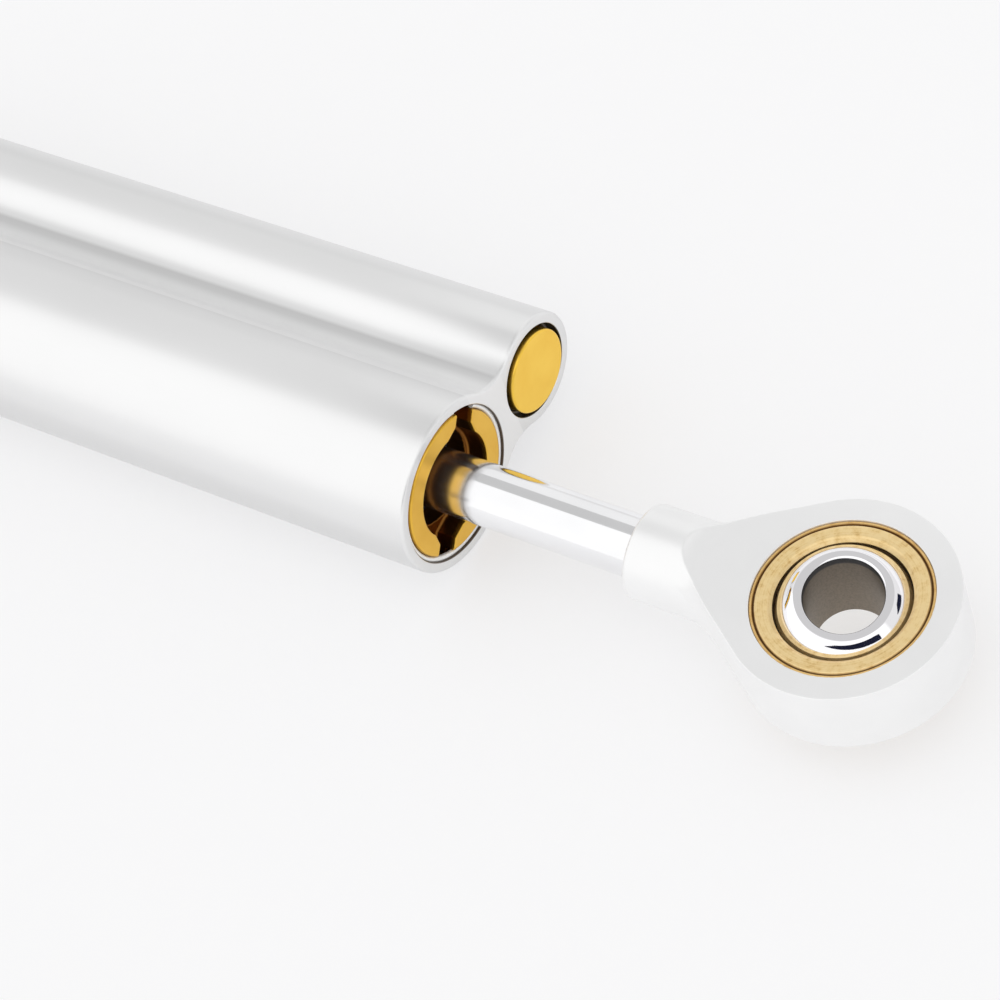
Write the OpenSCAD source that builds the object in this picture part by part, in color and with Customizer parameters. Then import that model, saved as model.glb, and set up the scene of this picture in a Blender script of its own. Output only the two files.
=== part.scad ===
// Motorcycle steering damper: twin-tube body, sliding rod, spherical rod end and click adjuster.
// X runs along the rod towards the rod end, Y from the main tube to the reservoir tube, and Z
// along the bearing bore. The origin is the centre of the rod-end bearing. Lengths are millimetres.

/* [Twin-tube body] */
// Outside diameter of the main tube
main_od = 23.5; // [23:0.1:28]
// Bore of the main tube
main_bore = 20; // [19:0.1:20.6]
// Outside diameter of the reservoir tube
side_od = 15.5; // [15:0.1:18]
// Bore of the reservoir tube
side_bore = 12; // [11:0.1:12.6]
// Distance between the two tube axes
tube_gap = 19.15; // [18.6:0.05:22]
// Radius of the hollow between the tubes
web_fillet = 6; // [3:0.5:9]
// Chamfer around the tubes' outer ends
body_edge = 0.4; // [0.2:0.1:0.7]
// Step from each bore up to its wider mouth
mouth_step = 0.3; // [0.2:0.05:0.4]

/* [Stroke] */
// Travel of the rod into the body from the pose drawn
stroke_in = 24; // [5:1:24]
// Travel of the rod out of the body from the pose drawn
stroke_out = 51; // [20:1:80]
// Bare rod between the body and the rod end in the pose drawn
rod_shown = 28.1; // [25:0.1:60]

/* [Rod and piston] */
// Diameter of the rod
rod_d = 8; // [7:0.1:8.6]
// Step from the rod down to its threaded ends
rod_step = 1; // [0.6:0.1:1.4]
// Length of the piston
piston_len = 12; // [11:0.5:20]
// Width of the piston's sliding band
band_w = 6; // [4.5:0.1:8]
// Depth of the band's groove
band_depth = 1.7; // [1.2:0.1:1.8]
// Gap between the piston and the bore
piston_gap = 0.4; // [0.2:0.05:0.6]
// Number of oil ports through the piston
piston_ports = 6; // [3:1:8]
// Diameter of a piston port
port_d = 1.6; // [0.8:0.1:1.8]
// Thickness of a valve shim
shim_t = 0.6; // [0.3:0.1:1.2]
// Diameter of a valve shim
shim_d = 15; // [13:0.5:17]
// Thickness of the piston nut
nut_h = 5; // [3:0.5:8]
// Width of the piston nut across its flats
nut_af = 10; // [8:0.5:13]
// Length of the rubber bumper
bumper_len = 4; // [2:0.5:8]
// Outside diameter of the rubber bumper
bumper_d = 14; // [11:0.5:17]
// Thread end that stands out of the piston nut
tail_over = 1.5; // [0.5:0.5:4]

/* [Rod end] */
// Diameter of the eye
eye_d = 28.2; // [26:0.1:34]
// Thickness of the eye across its flats
eye_t = 10; // [9:0.1:11.4]
// Angle between the rod and each straight flank
flank_angle = 34.5; // [30:0.5:40]
// Diameter of the round shank
shank_d = 12.2; // [11.6:0.1:14]
// Distance from the bearing centre to the shank's rim
shank_reach = 27.8; // [27:0.1:45]
// Rounding of the shank's rim
rim_round = 0.6; // [0.4:0.1:1.6]
// Radius of the cutter that ends each flat
scoop_r = 4; // [1.5:0.1:6]
// Distance from the bearing centre to where each flat starts to rise
scoop_start = 18.1; // [17:0.1:21]
// Radius of the turned run-out from the shank into the eye
flare_r = 6; // [3:0.1:9]
// Radius between the shank and each flank
neck_round = 8; // [4:0.5:16]
// Depth of the rod's seat in the shank
rod_seat = 3; // [1:0.5:5]
// Length of the rod's thread in the shank
thread_len = 10; // [6:0.5:12]

/* [Spherical bearing] */
// Bore of the ball
ball_bore = 9.6; // [8:0.1:11]
// Diameter of the ball
ball_d = 18; // [17.6:0.1:18.4]
// Width of the ball
ball_w = 13.6; // [12.4:0.1:14.2]
// Lean of the ball in its liner, as it lies
ball_lean = 10; // [0:0.5:12]
// Way the ball leans, counted round from the rod's line
ball_lean_way = -36; // [-180:1:180]
// Chamfer of the ball's bore
bore_edge = 0.1; // [0.05:0.05:0.4]
// Thickness of the liner
liner_t = 0.25; // [0.15:0.05:0.4]
// Width of the liner
liner_w = 7; // [6:0.1:8.6]
// Outside diameter of the outer ring
race_od = 22; // [21.4:0.1:23]
// Width of the outer ring
race_w = 9.6; // [9.2:0.1:10]
// Opening of the outer ring
race_mouth_d = 16.9; // [16.6:0.1:18]
// Depth of the outer ring's opening
race_mouth_depth = 0.5; // [0.3:0.05:0.6]

/* [Seal head] */
// Length of the seal head from the body's face inwards
head_len = 20; // [18:0.5:30]
// Depth of the mouth that takes the seal head's flange
head_mouth = 12; // [11:0.5:14]
// Depth of the seal head's face below the body's face
head_recess = 0.2; // [0:0.05:0.3]
// Width of the two spanner slots
slot_w = 3.4; // [2:0.1:5]
// Depth of the spanner slots
slot_depth = 3; // [1.5:0.1:3.6]
// Angle of the spanner slots from the plane of the tubes
slot_angle = 51; // [0:1:90]
// Radial thickness of the seals around the rod
seal_section = 2.3; // [1.8:0.1:2.6]
// Step from the seal pocket out to the open recess
recess_step = 0.6; // [0.3:0.1:0.9]
// Depth of the wiper's front below the body's face
wiper_depth = 5; // [4:0.1:5.5]
// Length of the wiper
wiper_len = 3.2; // [2:0.1:3.6]
// Wall between the wiper and the rod seal
seal_wall = 1.2; // [0.8:0.1:2]
// Length of the rod seal
seal_len = 4; // [2.5:0.1:5]

/* [Reservoir] */
// Length of each reservoir plug from the body's face inwards
plug_len = 12; // [11:0.5:14]
// Depth of the mouth that takes a plug's flange
plug_mouth = 7; // [5:0.5:8]
// Height of each plug's boss above the body's face
plug_proud = 0.35; // [0:0.05:1]
// Gap between each plug's boss and its clip
plug_boss_gap = 0.1; // [0.05:0.05:0.4]
// Depth of the clip in front of a plug's flange
plug_clip_depth = 1.9; // [1:0.1:2.5]
// Length of the separator piston
separator_len = 10; // [7:0.5:16]
// Distance from the body's face to the separator piston in the pose drawn
separator_depth = 50; // [40:1:60]
// Wire of the compensator spring
spring_wire = 1.1; // [0.7:0.1:1.4]
// Turns of the compensator spring
spring_turns = 9; // [6:1:12]
// Gap between the compensator spring and the bore
spring_gap = 0.5; // [0.3:0.1:1]

/* [Rear head and adjuster] */
// Length of the rear head from the body's rear face inwards
rear_len = 16; // [15.5:0.5:24]
// Depth of the mouth that takes the rear head's flange
rear_mouth = 7; // [5:0.5:7]
// Place of the oil gallery, measured from the body's rear face
gallery_place = 11.6; // [11.4:0.1:12]
// Width of the oil gallery
gallery_w = 2; // [1.2:0.1:2.4]
// Diameter of the oil ways
oilway_d = 1.6; // [0.8:0.1:1.8]
// Diameter of the adjuster needle
needle_d = 5.8; // [5.2:0.1:6.6]
// Diameter of the seat's hole
seat_hole_d = 2.4; // [1.6:0.1:3]
// Length of the needle seat
seat_len = 3.2; // [2.4:0.1:3.4]
// Diameter of the needle seat
seat_d = 9; // [8:0.1:10.5]
// Travel of the needle either way for one turn of the knob
needle_pitch = 0.5; // [0.3:0.05:0.5]
// Diameter of the knob
knob_d = 18; // [15:0.5:22]
// Length of the knob
knob_len = 9; // [7:0.5:14]
// Gap between the knob and the body's rear face
knob_gap = 0.5; // [0.4:0.05:0.7]
// Number of grip flutes around the knob
knob_flutes = 20; // [8:1:28]
// Diameter of a grip flute
flute_d = 1.6; // [0.8:0.1:2]
// Clicks in one turn of the knob
clicks = 20; // [8:1:24]
// Diameter of the click ball
click_ball_d = 2; // [1.6:0.1:2.4]
// Distance of the click ball from the knob's axis
click_radius = 5.6; // [5:0.1:6.5]
// Length of the click spring
click_spring_len = 4; // [3:0.1:5]

/* [Seals and clips] */
// Radial height of a sealing ring's groove
ring_section = 1.5; // [1:0.05:1.7]
// Wire of the snap rings
clip_wire = 0.8; // [0.6:0.05:1]
// How far a snap ring stands in the wall around it
clip_bite = 0.2; // [0.1:0.05:0.3]
// Opening between the ends of a snap ring, in degrees
clip_opening = 24; // [10:1:60]

/* [Fits] */
// Radial clearance of a part that slides or turns
run_fit = 0.05; // [0.02:0.01:0.1]
// Radial clearance of a part that stays put
seat_fit = 0.02; // [0.01:0.01:0.05]
// Clearance between faces that meet end to end
face_gap = 0.03; // [0.01:0.01:0.1]

/* [Hidden] */
$fn = 96;

// Finishes
clear_anodised = [0.86, 0.87, 0.88];
gold_anodised = [0.85, 0.62, 0.20];
polished_steel = [0.78, 0.79, 0.80];
spring_steel = [0.45, 0.46, 0.48];
bronze = [0.66, 0.47, 0.25];
brass_tone = [0.80, 0.66, 0.33];
black_rubber = [0.07, 0.07, 0.07];
liner_brown = [0.30, 0.20, 0.12];

// A cut reaches this far past the face that it opens
past = 1;

// Radii
main_r = main_bore / 2;
main_mouth_r = main_r + mouth_step;
side_r = side_bore / 2;
side_mouth_r = side_r + mouth_step;
rod_r = rod_d / 2;
tail_r = rod_r - rod_step;
shank_r = shank_d / 2;
ball_r = ball_d / 2;
race_r = race_od / 2;
eye_r = eye_d / 2;
clip_r = clip_wire / 2;
needle_r = needle_d / 2;
liner_in_r = ball_r + run_fit;
liner_out_r = liner_in_r + liner_t;
race_seat_r = liner_out_r + run_fit;

// The moving stack, from the bumper's front to the end of the rod's tail, as depths from the face
bumper_gap = 0.3;
bumper_at = head_len + bumper_gap + stroke_out;
shoulder_at = bumper_at + bumper_len;
piston_at = shoulder_at + shim_t;
rear_shim_at = piston_at + piston_len;
nut_at = rear_shim_at + shim_t;
tail_end = nut_at + nut_h + tail_over;

// The body is as long as the stack, its stroke and the two heads need
stop_gap = 1.5;
body_len = tail_end + stroke_in + stop_gap + rear_len;
front_x = -(shank_reach + rod_shown);
rear_x = front_x - body_len;

// Hollow between the tubes: its cylinder cuts a hair into both tubes so that the surfaces cross
web_bite = 0.03;
main_reach = main_od / 2 + web_fillet - web_bite;
side_reach = side_od / 2 + web_fillet - web_bite;
web_y = (tube_gap * tube_gap + main_reach * main_reach - side_reach * side_reach) / (2 * tube_gap);
web_z = sqrt(main_reach * main_reach - web_y * web_y);

// Sealing rings
ring_slack = 0.3;
function groove_w(section) = section + 2 * ring_slack;
function ring_cord(section) = section - 2 * seat_fit;

// Seal head: its clip lies a little below its face
clip_cover = 0.45;
head_clip_at = head_recess + clip_cover + clip_r;
head_flange_at = head_clip_at + clip_r + face_gap;
head_clip_turn = 50;
head_boss_r = main_mouth_r + clip_bite - clip_wire - run_fit;
pocket_r = rod_r + seal_section;
head_recess_r = pocket_r + recess_step;
head_edge = 0.35;
wiper_end = wiper_depth + wiper_len;
rod_seal_at = wiper_end + seal_wall;
bush_at = rod_seal_at + seal_len + face_gap;
head_ring_at = (head_mouth + head_len) / 2;
rod_hole_gap = 0.3;
rod_hole_r = rod_r + rod_hole_gap;
wiper_lip = 0.9;
wiper_tip = 0.4;
seal_cup = 2.2;
seal_lip = 0.7;

// Plugs of the reservoir tube
plug_boss_r = side_mouth_r + clip_bite - clip_wire - plug_boss_gap;
plug_flange_at = plug_clip_depth + clip_r + face_gap;
plug_ring_at = (plug_mouth + plug_len) / 2;
plug_edge = 0.3;
plug_clip_turn = 60;

// Rear head, as distances from the body's rear face
rear_ring_land = 0.7;
rear_ring_out = rear_mouth + rear_ring_land + groove_w(ring_section) / 2;
rear_ring_in = rear_len - rear_ring_land - groove_w(ring_section) / 2;
gallery_r = main_r - ring_section;
chamber_end = rear_len - seat_len;
key_end = 7.2;
key_depth = 0.6;
shoulder_end = 2.2;
needle_flat = needle_r - key_depth;
stem_r = 1.6;
collar_gap = 0.15;
collar_r = needle_flat - collar_gap;
collar_at = shoulder_end + face_gap;
collar_len = 1.6;
screw_thread_r = 1.2;
screw_thread_len = 4;
screw_end = collar_at + collar_len + screw_thread_len;

// The needle in the pose drawn, with room to travel either way
needle_room = 0.25;
needle_key_gap = 0.1;
needle_guide_gap = 0.4;
needle_back = collar_at + collar_len + needle_pitch + needle_room;
needle_key_to = key_end - needle_pitch - needle_key_gap;
needle_guide_from = key_end + needle_pitch + needle_guide_gap;
needle_guide_end = 10.5;
needle_taper_back = 0.8;
needle_taper_at = chamber_end - needle_taper_back;
needle_taper_gap = 0.2;
needle_tip_over = 0.6;
needle_tip = chamber_end + needle_tip_over;
needle_tip_r = 0.35;
needle_ring_section = 0.8;
needle_ring_at = (needle_guide_from + needle_guide_end) / 2;

// Oil way from the gallery to the reservoir, drilled at a slant through the rear mouth
oilway_run = 5.4;
oilway_start = 0.8;
oilway_over = 1.2;
oilway_from = [gallery_place, main_r - oilway_start];
oilway_to = [gallery_place + oilway_run, tube_gap - side_r + oilway_over];

// Driver slot across the needle seat
seat_slot_w = 1.2;
seat_slot_depth = 0.9;

// Knob, as distances behind the body's rear face
knob_back = -knob_gap - knob_len;
knob_edge = 0.8;
flute_out = 0.3;
knob_screw_r = 0.8;
knob_screw_len = 6.5;
knob_screw_hole_over = 0.5;
knob_screw_head_d = 4.6;
knob_screw_head_h = 2;
knob_screw_head_gap = 0.3;
knob_screw_sink = 0.2;
knob_screw_key = 2.4;
knob_screw_key_depth = 1.2;
stem_cover = 1;
stem_back = knob_back + knob_screw_head_h + stem_cover;
click_ball_r = click_ball_d / 2;
click_bite = 0.35;
click_ball_at = click_ball_r - knob_gap - click_bite;
click_gap = 0.15;
click_groove_r = click_ball_r + click_gap;
click_dimple_over = 0.2;
click_dimple_r = click_groove_r + click_dimple_over;
click_hole_r = click_ball_r + run_fit;

// Springs
separator_dish = 1.5;
spring_seat = 0.05;
spring_r = side_r - spring_gap - spring_wire / 2;
spring_from = plug_len + spring_wire / 2 + spring_seat;
spring_to = separator_depth - spring_wire / 2 - spring_seat;
click_wire = 0.35;
click_turns = 4;
click_spring_r = click_ball_r - click_wire;
click_spring_from = click_ball_at + click_ball_r + click_wire / 2;
click_spring_to = click_spring_from + click_spring_len;
click_hole_end = click_spring_to + click_wire / 2 + spring_seat;
rings_per_turn = 8;
wire_sides = 6;

// Local Z runs into the body from its front face, or from its rear face
module from_front(depth = 0) translate([front_x - depth, 0, 0]) rotate([0, -90, 0]) children();
module from_rear(depth = 0) translate([rear_x + depth, 0, 0]) rotate([0, 90, 0]) children();
module on_reservoir() translate([0, tube_gap, 0]) children();

// A round part from its half outline, as radius and depth
module turned(outline) rotate_extrude() polygon(outline);

// A plain round, between two depths
module round_between(radius, z0, z1) translate([0, 0, z0]) cylinder(r = radius, h = z1 - z0);

// A ring with square edges, between two depths
module collar(outer, inner, z0, z1) difference() {
    round_between(outer, z0, z1);
    round_between(inner, z0 - past, z1 + past);
}

// A sealing ring of round section between a groove and a wall
module sealing_ring(wall_r, section, depth) translate([0, 0, depth]) rotate_extrude()
    translate([wall_r - section / 2, 0]) circle(d = ring_cord(section), $fn = 32);

// The groove that holds a sealing ring, as the material to cut away
module ring_groove(wall_r, section, depth) {
    half = groove_w(section) / 2;
    collar(wall_r + past, wall_r - section, depth - half, depth + half);
}

// A snap ring of round wire, sprung out into the wall of a mouth
module snap_ring(mouth_r, depth, turn) translate([0, 0, depth]) rotate([0, 0, turn])
    rotate_extrude(angle = 360 - clip_opening)
        translate([mouth_r + clip_bite - clip_r, 0]) circle(d = clip_wire, $fn = 32);

// The wall groove for a snap ring
module snap_groove(mouth_r, depth)
    round_between(mouth_r + clip_bite + seat_fit, depth - clip_r - seat_fit, depth + clip_r + seat_fit);

// A helix about local Z, as the centres of its rings and then as a tube of triangles
function helix_at(i, radius, z0, z1, count) = [
    radius * cos(360 * i / rings_per_turn),
    radius * sin(360 * i / rings_per_turn),
    z0 + (z1 - z0) * i / count
];
function helix_ring(i, radius, z0, z1, count, wire) =
    let (
        a = 360 * i / rings_per_turn,
        climb = (z1 - z0) / count * rings_per_turn / 360 * 180 / PI,
        out = [cos(a), sin(a), 0],
        along = [-radius * sin(a), radius * cos(a), climb] / norm([radius, climb]),
        up = cross(along, out)
    )
    [for (k = [0 : wire_sides - 1])
        helix_at(i, radius, z0, z1, count)
            + wire / 2 * (cos(360 * k / wire_sides) * out + sin(360 * k / wire_sides) * up)];
module helix(radius, z0, z1, turns, wire) {
    count = turns * rings_per_turn;
    points = [for (i = [0 : count]) each helix_ring(i, radius, z0, z1, count, wire)];
    sides = [for (i = [0 : count - 1], k = [0 : wire_sides - 1])
        let (
            a = i * wire_sides + k,
            b = i * wire_sides + (k + 1) % wire_sides
        )
        each [[a, a + wire_sides, b], [b, a + wire_sides, b + wire_sides]]];
    last = count * wire_sides;
    ends = [for (k = [1 : wire_sides - 2])
        each [[0, k, k + 1], [last, last + k + 1, last + k]]];
    polyhedron(points, concat(sides, ends));
}

// Least gap of a helix to itself, measured between ring centres of different turns
function helix_gap(radius, z0, z1, turns, wire) =
    let (count = turns * rings_per_turn)
    min([for (i = [0 : count], j = [i + rings_per_turn / 2 : count])
        norm(helix_at(i, radius, z0, z1, count) - helix_at(j, radius, z0, z1, count))]) - wire;

// Places along the eye's outline, on the +Y side
flank_touch = [-eye_r * sin(flank_angle), eye_r * cos(flank_angle)];
flank_apex = flank_touch.x - flank_touch.y / tan(flank_angle);
neck_corner = flank_apex + shank_r / tan(flank_angle);
neck_leg = neck_round * tan(flank_angle / 2);
neck_on_shank = [neck_corner - neck_leg, shank_r];
neck_on_flank = [
    neck_corner + neck_leg * cos(flank_angle),
    shank_r + neck_leg * sin(flank_angle)
];

// The turned run-out from the shank starts just behind the milled scoops
flare_lead = 2.4;
thread_room = 1;
flare_start = -scoop_start - flare_lead;
flare_end = flare_start + flare_r;

// The body's outline between two depths, drawn in by an inset at either end
module body_outline(z0, z1, inset0, inset1) translate([0, 0, z0]) {
    length = z1 - z0;
    cylinder(r1 = main_od / 2 - inset0, r2 = main_od / 2 - inset1, h = length);
    translate([0, tube_gap, 0])
        cylinder(r1 = side_od / 2 - inset0, r2 = side_od / 2 - inset1, h = length);
    difference() {
        linear_extrude(length) polygon([[0, 0], [web_z, web_y], [0, tube_gap], [-web_z, web_y]]);
        for (side = [-1, 1])
            translate([side * web_z, web_y, 0])
                cylinder(r1 = web_fillet + inset0, r2 = web_fillet + inset1, h = length);
    }
}

// Bore, mouth and snap groove of one end of a tube, as the material to cut away
module tube_mouth(mouth_r, mouth_depth, clip_depth) {
    round_between(mouth_r, -past, mouth_depth);
    snap_groove(mouth_r, clip_depth);
}

module twin_tube_body() color(clear_anodised) difference() {
    from_front() {
        body_outline(0, body_edge, body_edge, 0);
        body_outline(body_edge, body_len - body_edge, 0, 0);
        body_outline(body_len - body_edge, body_len, 0, body_edge);
    }
    from_front() round_between(main_r, -past, body_len + past);
    on_reservoir() from_front() round_between(side_r, -past, body_len + past);
    from_front() tube_mouth(main_mouth_r, head_mouth, head_clip_at);
    from_rear() tube_mouth(main_mouth_r, rear_mouth, head_clip_at);
    on_reservoir() from_front() tube_mouth(side_mouth_r, plug_mouth, plug_clip_depth);
    on_reservoir() from_rear() tube_mouth(side_mouth_r, plug_mouth, plug_clip_depth);
    slanted_oilway();
}

module slanted_oilway() {
    run = oilway_to - oilway_from;
    translate([rear_x + oilway_from.x, oilway_from.y, 0])
        rotate([0, 0, atan2(run.y, run.x)]) rotate([0, 90, 0])
            cylinder(d = oilway_d, h = norm(run), $fn = 48);
}

module seal_head() color(gold_anodised) from_front() difference() {
    turned([
        [0, head_recess], [head_boss_r - head_edge, head_recess],
        [head_boss_r, head_recess + head_edge], [head_boss_r, head_flange_at],
        [main_mouth_r - seat_fit, head_flange_at], [main_mouth_r - seat_fit, head_mouth - face_gap],
        [main_r - seat_fit, head_mouth - face_gap], [main_r - seat_fit, head_len], [0, head_len]
    ]);
    turned([
        [0, head_recess - past], [head_recess_r + head_edge + past, head_recess - past],
        [head_recess_r, head_recess + head_edge], [head_recess_r, head_recess + slot_depth],
        [pocket_r, head_recess + slot_depth], [pocket_r, wiper_end], [rod_hole_r, wiper_end],
        [rod_hole_r, rod_seal_at], [pocket_r, rod_seal_at], [pocket_r, head_len + past],
        [0, head_len + past]
    ]);
    ring_groove(main_r, ring_section, head_ring_at);
    rotate([0, 0, -slot_angle]) translate([-slot_w / 2, -main_od, -past])
        cube([slot_w, 2 * main_od, past + head_recess + slot_depth]);
}

module seal_head_clip() color(polished_steel) from_front()
    snap_ring(main_mouth_r, head_clip_at, head_clip_turn);

module seal_head_oring() color(black_rubber) from_front()
    sealing_ring(main_r, ring_section, head_ring_at);

// A soft lip rises from the wiper's body to the rod
module wiper_seal() color(black_rubber) from_front() turned([
    [rod_r + run_fit, wiper_depth], [rod_r + run_fit + wiper_tip, wiper_depth],
    [rod_r + wiper_lip, wiper_depth + wiper_lip], [pocket_r - seat_fit, wiper_depth + wiper_lip],
    [pocket_r - seat_fit, wiper_end - face_gap], [rod_r + wiper_lip, wiper_end - face_gap],
    [rod_r + run_fit, wiper_depth + wiper_lip]
]);

// A lip seal with its open side towards the oil
module rod_seal() color(black_rubber) from_front() turned([
    [rod_r + run_fit, rod_seal_at + face_gap], [pocket_r - seat_fit, rod_seal_at + face_gap],
    [pocket_r - seat_fit, rod_seal_at + seal_len], [pocket_r - seal_lip, rod_seal_at + seal_len],
    [(rod_r + pocket_r) / 2, rod_seal_at + seal_len - seal_cup],
    [rod_r + seal_lip, rod_seal_at + seal_len], [rod_r + run_fit, rod_seal_at + seal_len]
]);

module guide_bush() color(bronze) from_front()
    collar(pocket_r - seat_fit, rod_r + run_fit, bush_at, head_len);

// A stepped plug whose boss stands in the middle of the clip
module plug_shape() difference() {
    turned([
        [0, -plug_proud], [plug_boss_r - plug_edge, -plug_proud],
        [plug_boss_r, plug_edge - plug_proud], [plug_boss_r, plug_flange_at],
        [side_mouth_r - seat_fit, plug_flange_at], [side_mouth_r - seat_fit, plug_mouth - face_gap],
        [side_r - seat_fit, plug_mouth - face_gap], [side_r - seat_fit, plug_len], [0, plug_len]
    ]);
    ring_groove(side_r, ring_section, plug_ring_at);
}
module plug_clip_shape() snap_ring(side_mouth_r, plug_clip_depth, plug_clip_turn);
module plug_ring_shape() sealing_ring(side_r, ring_section, plug_ring_at);

module reservoir_plug() color(gold_anodised) on_reservoir() from_front() plug_shape();
module reservoir_plug_clip() color(spring_steel) on_reservoir() from_front() plug_clip_shape();
module reservoir_plug_oring() color(black_rubber) on_reservoir() from_front() plug_ring_shape();
module rear_plug() color(gold_anodised) on_reservoir() from_rear() plug_shape();
module rear_plug_clip() color(spring_steel) on_reservoir() from_rear() plug_clip_shape();
module rear_plug_oring() color(black_rubber) on_reservoir() from_rear() plug_ring_shape();

// The needle's guide: round in front of the key, and with two flats behind it
module needle_way(radius, flat, z0, z1) intersection() {
    round_between(radius, z0, z1);
    translate([-flat, -2 * radius, z0 - past]) cube([2 * flat, 4 * radius, z1 - z0 + 2 * past]);
}

module rear_head() color(gold_anodised) from_rear() difference() {
    turned([
        [0, head_recess], [head_boss_r - head_edge, head_recess],
        [head_boss_r, head_recess + head_edge], [head_boss_r, head_flange_at],
        [main_mouth_r - seat_fit, head_flange_at], [main_mouth_r - seat_fit, rear_mouth - face_gap],
        [main_r - seat_fit, rear_mouth - face_gap], [main_r - seat_fit, rear_len], [0, rear_len]
    ]);
    ring_groove(main_r, ring_section, rear_ring_out);
    ring_groove(main_r, ring_section, rear_ring_in);
    collar(main_od, gallery_r, gallery_place - gallery_w / 2, gallery_place + gallery_w / 2);
    for (turn = [0 : 90 : 270])
        rotate([0, 0, turn]) translate([0, 0, gallery_place]) rotate([0, 90, 0])
            cylinder(d = oilway_d, h = main_od, $fn = 48);
    round_between(seat_d / 2 + seat_fit, chamber_end, rear_len + past);
    round_between(needle_r + run_fit, key_end, rear_len);
    needle_way(needle_r + run_fit, needle_flat + run_fit, shoulder_end, key_end + past);
    round_between(stem_r + run_fit, -past, rear_len / 2);
    translate([0, click_radius, 0]) round_between(click_hole_r, -past, click_hole_end);
}

module rear_head_clip() color(polished_steel) from_rear()
    snap_ring(main_mouth_r, head_clip_at, head_clip_turn);

module rear_head_orings() color(black_rubber) from_rear()
    for (depth = [rear_ring_out, rear_ring_in]) sealing_ring(main_r, ring_section, depth);

module needle_seat() color(brass_tone) from_rear() difference() {
    round_between(seat_d / 2, chamber_end + face_gap, rear_len);
    round_between(seat_hole_d / 2, chamber_end - past, rear_len + past);
    translate([-seat_d, -seat_slot_w / 2, rear_len - seat_slot_depth])
        cube([2 * seat_d, seat_slot_w, seat_slot_depth + past]);
}

module detent_ball() color(polished_steel) from_rear()
    translate([0, click_radius, click_ball_at]) sphere(r = click_ball_r);

module detent_spring() color(spring_steel) from_rear() translate([0, click_radius, 0])
    helix(click_spring_r, click_spring_from, click_spring_to, click_turns, click_wire);

module compensator_spring() color(spring_steel) on_reservoir() from_front()
    helix(spring_r, spring_from, spring_to, spring_turns, spring_wire);

// Piston, its band and the ring that presses the band outwards
band_in_r = main_r - band_depth;
band_mid = piston_at + piston_len / 2;
energiser_section = ring_section;
band_from = band_mid - band_w / 2;
band_to = band_mid + band_w / 2;
piston_port_r = (tail_r + band_in_r - energiser_section) / 2;

module piston_band() color(bronze) from_front()
    collar(main_r - run_fit, band_in_r, band_from, band_to);

module band_energiser() color(black_rubber) from_front()
    sealing_ring(band_in_r - run_fit, energiser_section, band_mid);

module piston() color(clear_anodised) from_front() difference() {
    collar(main_r - piston_gap, tail_r + seat_fit, piston_at, rear_shim_at);
    collar(main_od, band_in_r - run_fit, band_from - run_fit, band_to + run_fit);
    ring_groove(band_in_r, energiser_section + 2 * run_fit, band_mid);
    for (i = [0 : piston_ports - 1])
        rotate([0, 0, 360 * i / piston_ports]) translate([piston_port_r, 0, 0])
            round_between(port_d / 2, piston_at - past, rear_shim_at + past);
}

module front_shim() color(spring_steel) from_front()
    collar(shim_d / 2, tail_r + seat_fit, shoulder_at, piston_at);
module rear_shim() color(spring_steel) from_front()
    collar(shim_d / 2, tail_r + seat_fit, rear_shim_at, nut_at);

module piston_nut() color(polished_steel) from_front() difference() {
    translate([0, 0, nut_at]) cylinder(d = nut_af / cos(30), h = nut_h, $fn = 6);
    round_between(tail_r + seat_fit, nut_at - past, nut_at + nut_h + past);
}

module top_out_bumper() color(black_rubber) from_front()
    collar(bumper_d / 2, rod_r + seat_fit, bumper_at, shoulder_at);

// The rod runs from its thread in the shank to the tail that holds the piston
module piston_rod() color(polished_steel) from_front() turned([
    [0, -rod_shown - rod_seat - thread_len], [tail_r, -rod_shown - rod_seat - thread_len],
    [tail_r, -rod_shown - rod_seat + face_gap], [rod_r, -rod_shown - rod_seat + face_gap],
    [rod_r, shoulder_at], [tail_r, shoulder_at], [tail_r, tail_end], [0, tail_end]
]);

// The shank, from its rounded rim to the bearing's seat
module shank() translate([-shank_reach, 0, 0]) rotate([0, 90, 0]) {
    round_between(shank_r, rim_round, shank_reach - race_r);
    round_between(shank_r - rim_round, 0, rim_round + past);
    translate([0, 0, rim_round]) rotate_extrude() translate([shank_r - rim_round, 0]) circle(rim_round);
}

module eye_plan(z0, z1) {
    round_between(eye_r, z0, z1);
    difference() {
        translate([0, 0, z0]) linear_extrude(z1 - z0) polygon([
            [0, 0], [flank_touch.x, flank_touch.y], [neck_on_flank.x, neck_on_flank.y],
            [neck_on_shank.x, neck_on_shank.y], [neck_on_shank.x, -neck_on_shank.y],
            [neck_on_flank.x, -neck_on_flank.y], [flank_touch.x, -flank_touch.y]
        ]);
        for (side = [-1, 1])
            translate([neck_on_shank.x, side * (shank_r + neck_round), 0])
                round_between(neck_round, z0 - past, z1 + past);
    }
}

// What the turned run-out leaves of the eye next to the shank
module neck_envelope() {
    translate([flare_end, -eye_d, -eye_d]) cube(2 * eye_d);
    translate([flare_start, 0, 0]) rotate([0, 90, 0]) difference() {
        round_between(shank_r + flare_r, 0, flare_r);
        rotate_extrude() translate([shank_r + flare_r, 0]) circle(flare_r);
    }
}

// Everything above one flat, ended by the round cutter
module flat_cut() {
    translate([-scoop_start, -eye_d, eye_t / 2]) cube([2 * eye_d, 2 * eye_d, eye_t]);
    translate([-scoop_start, -eye_d, eye_t / 2 + scoop_r]) rotate([-90, 0, 0])
        cylinder(r = scoop_r, h = 2 * eye_d);
}

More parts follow.
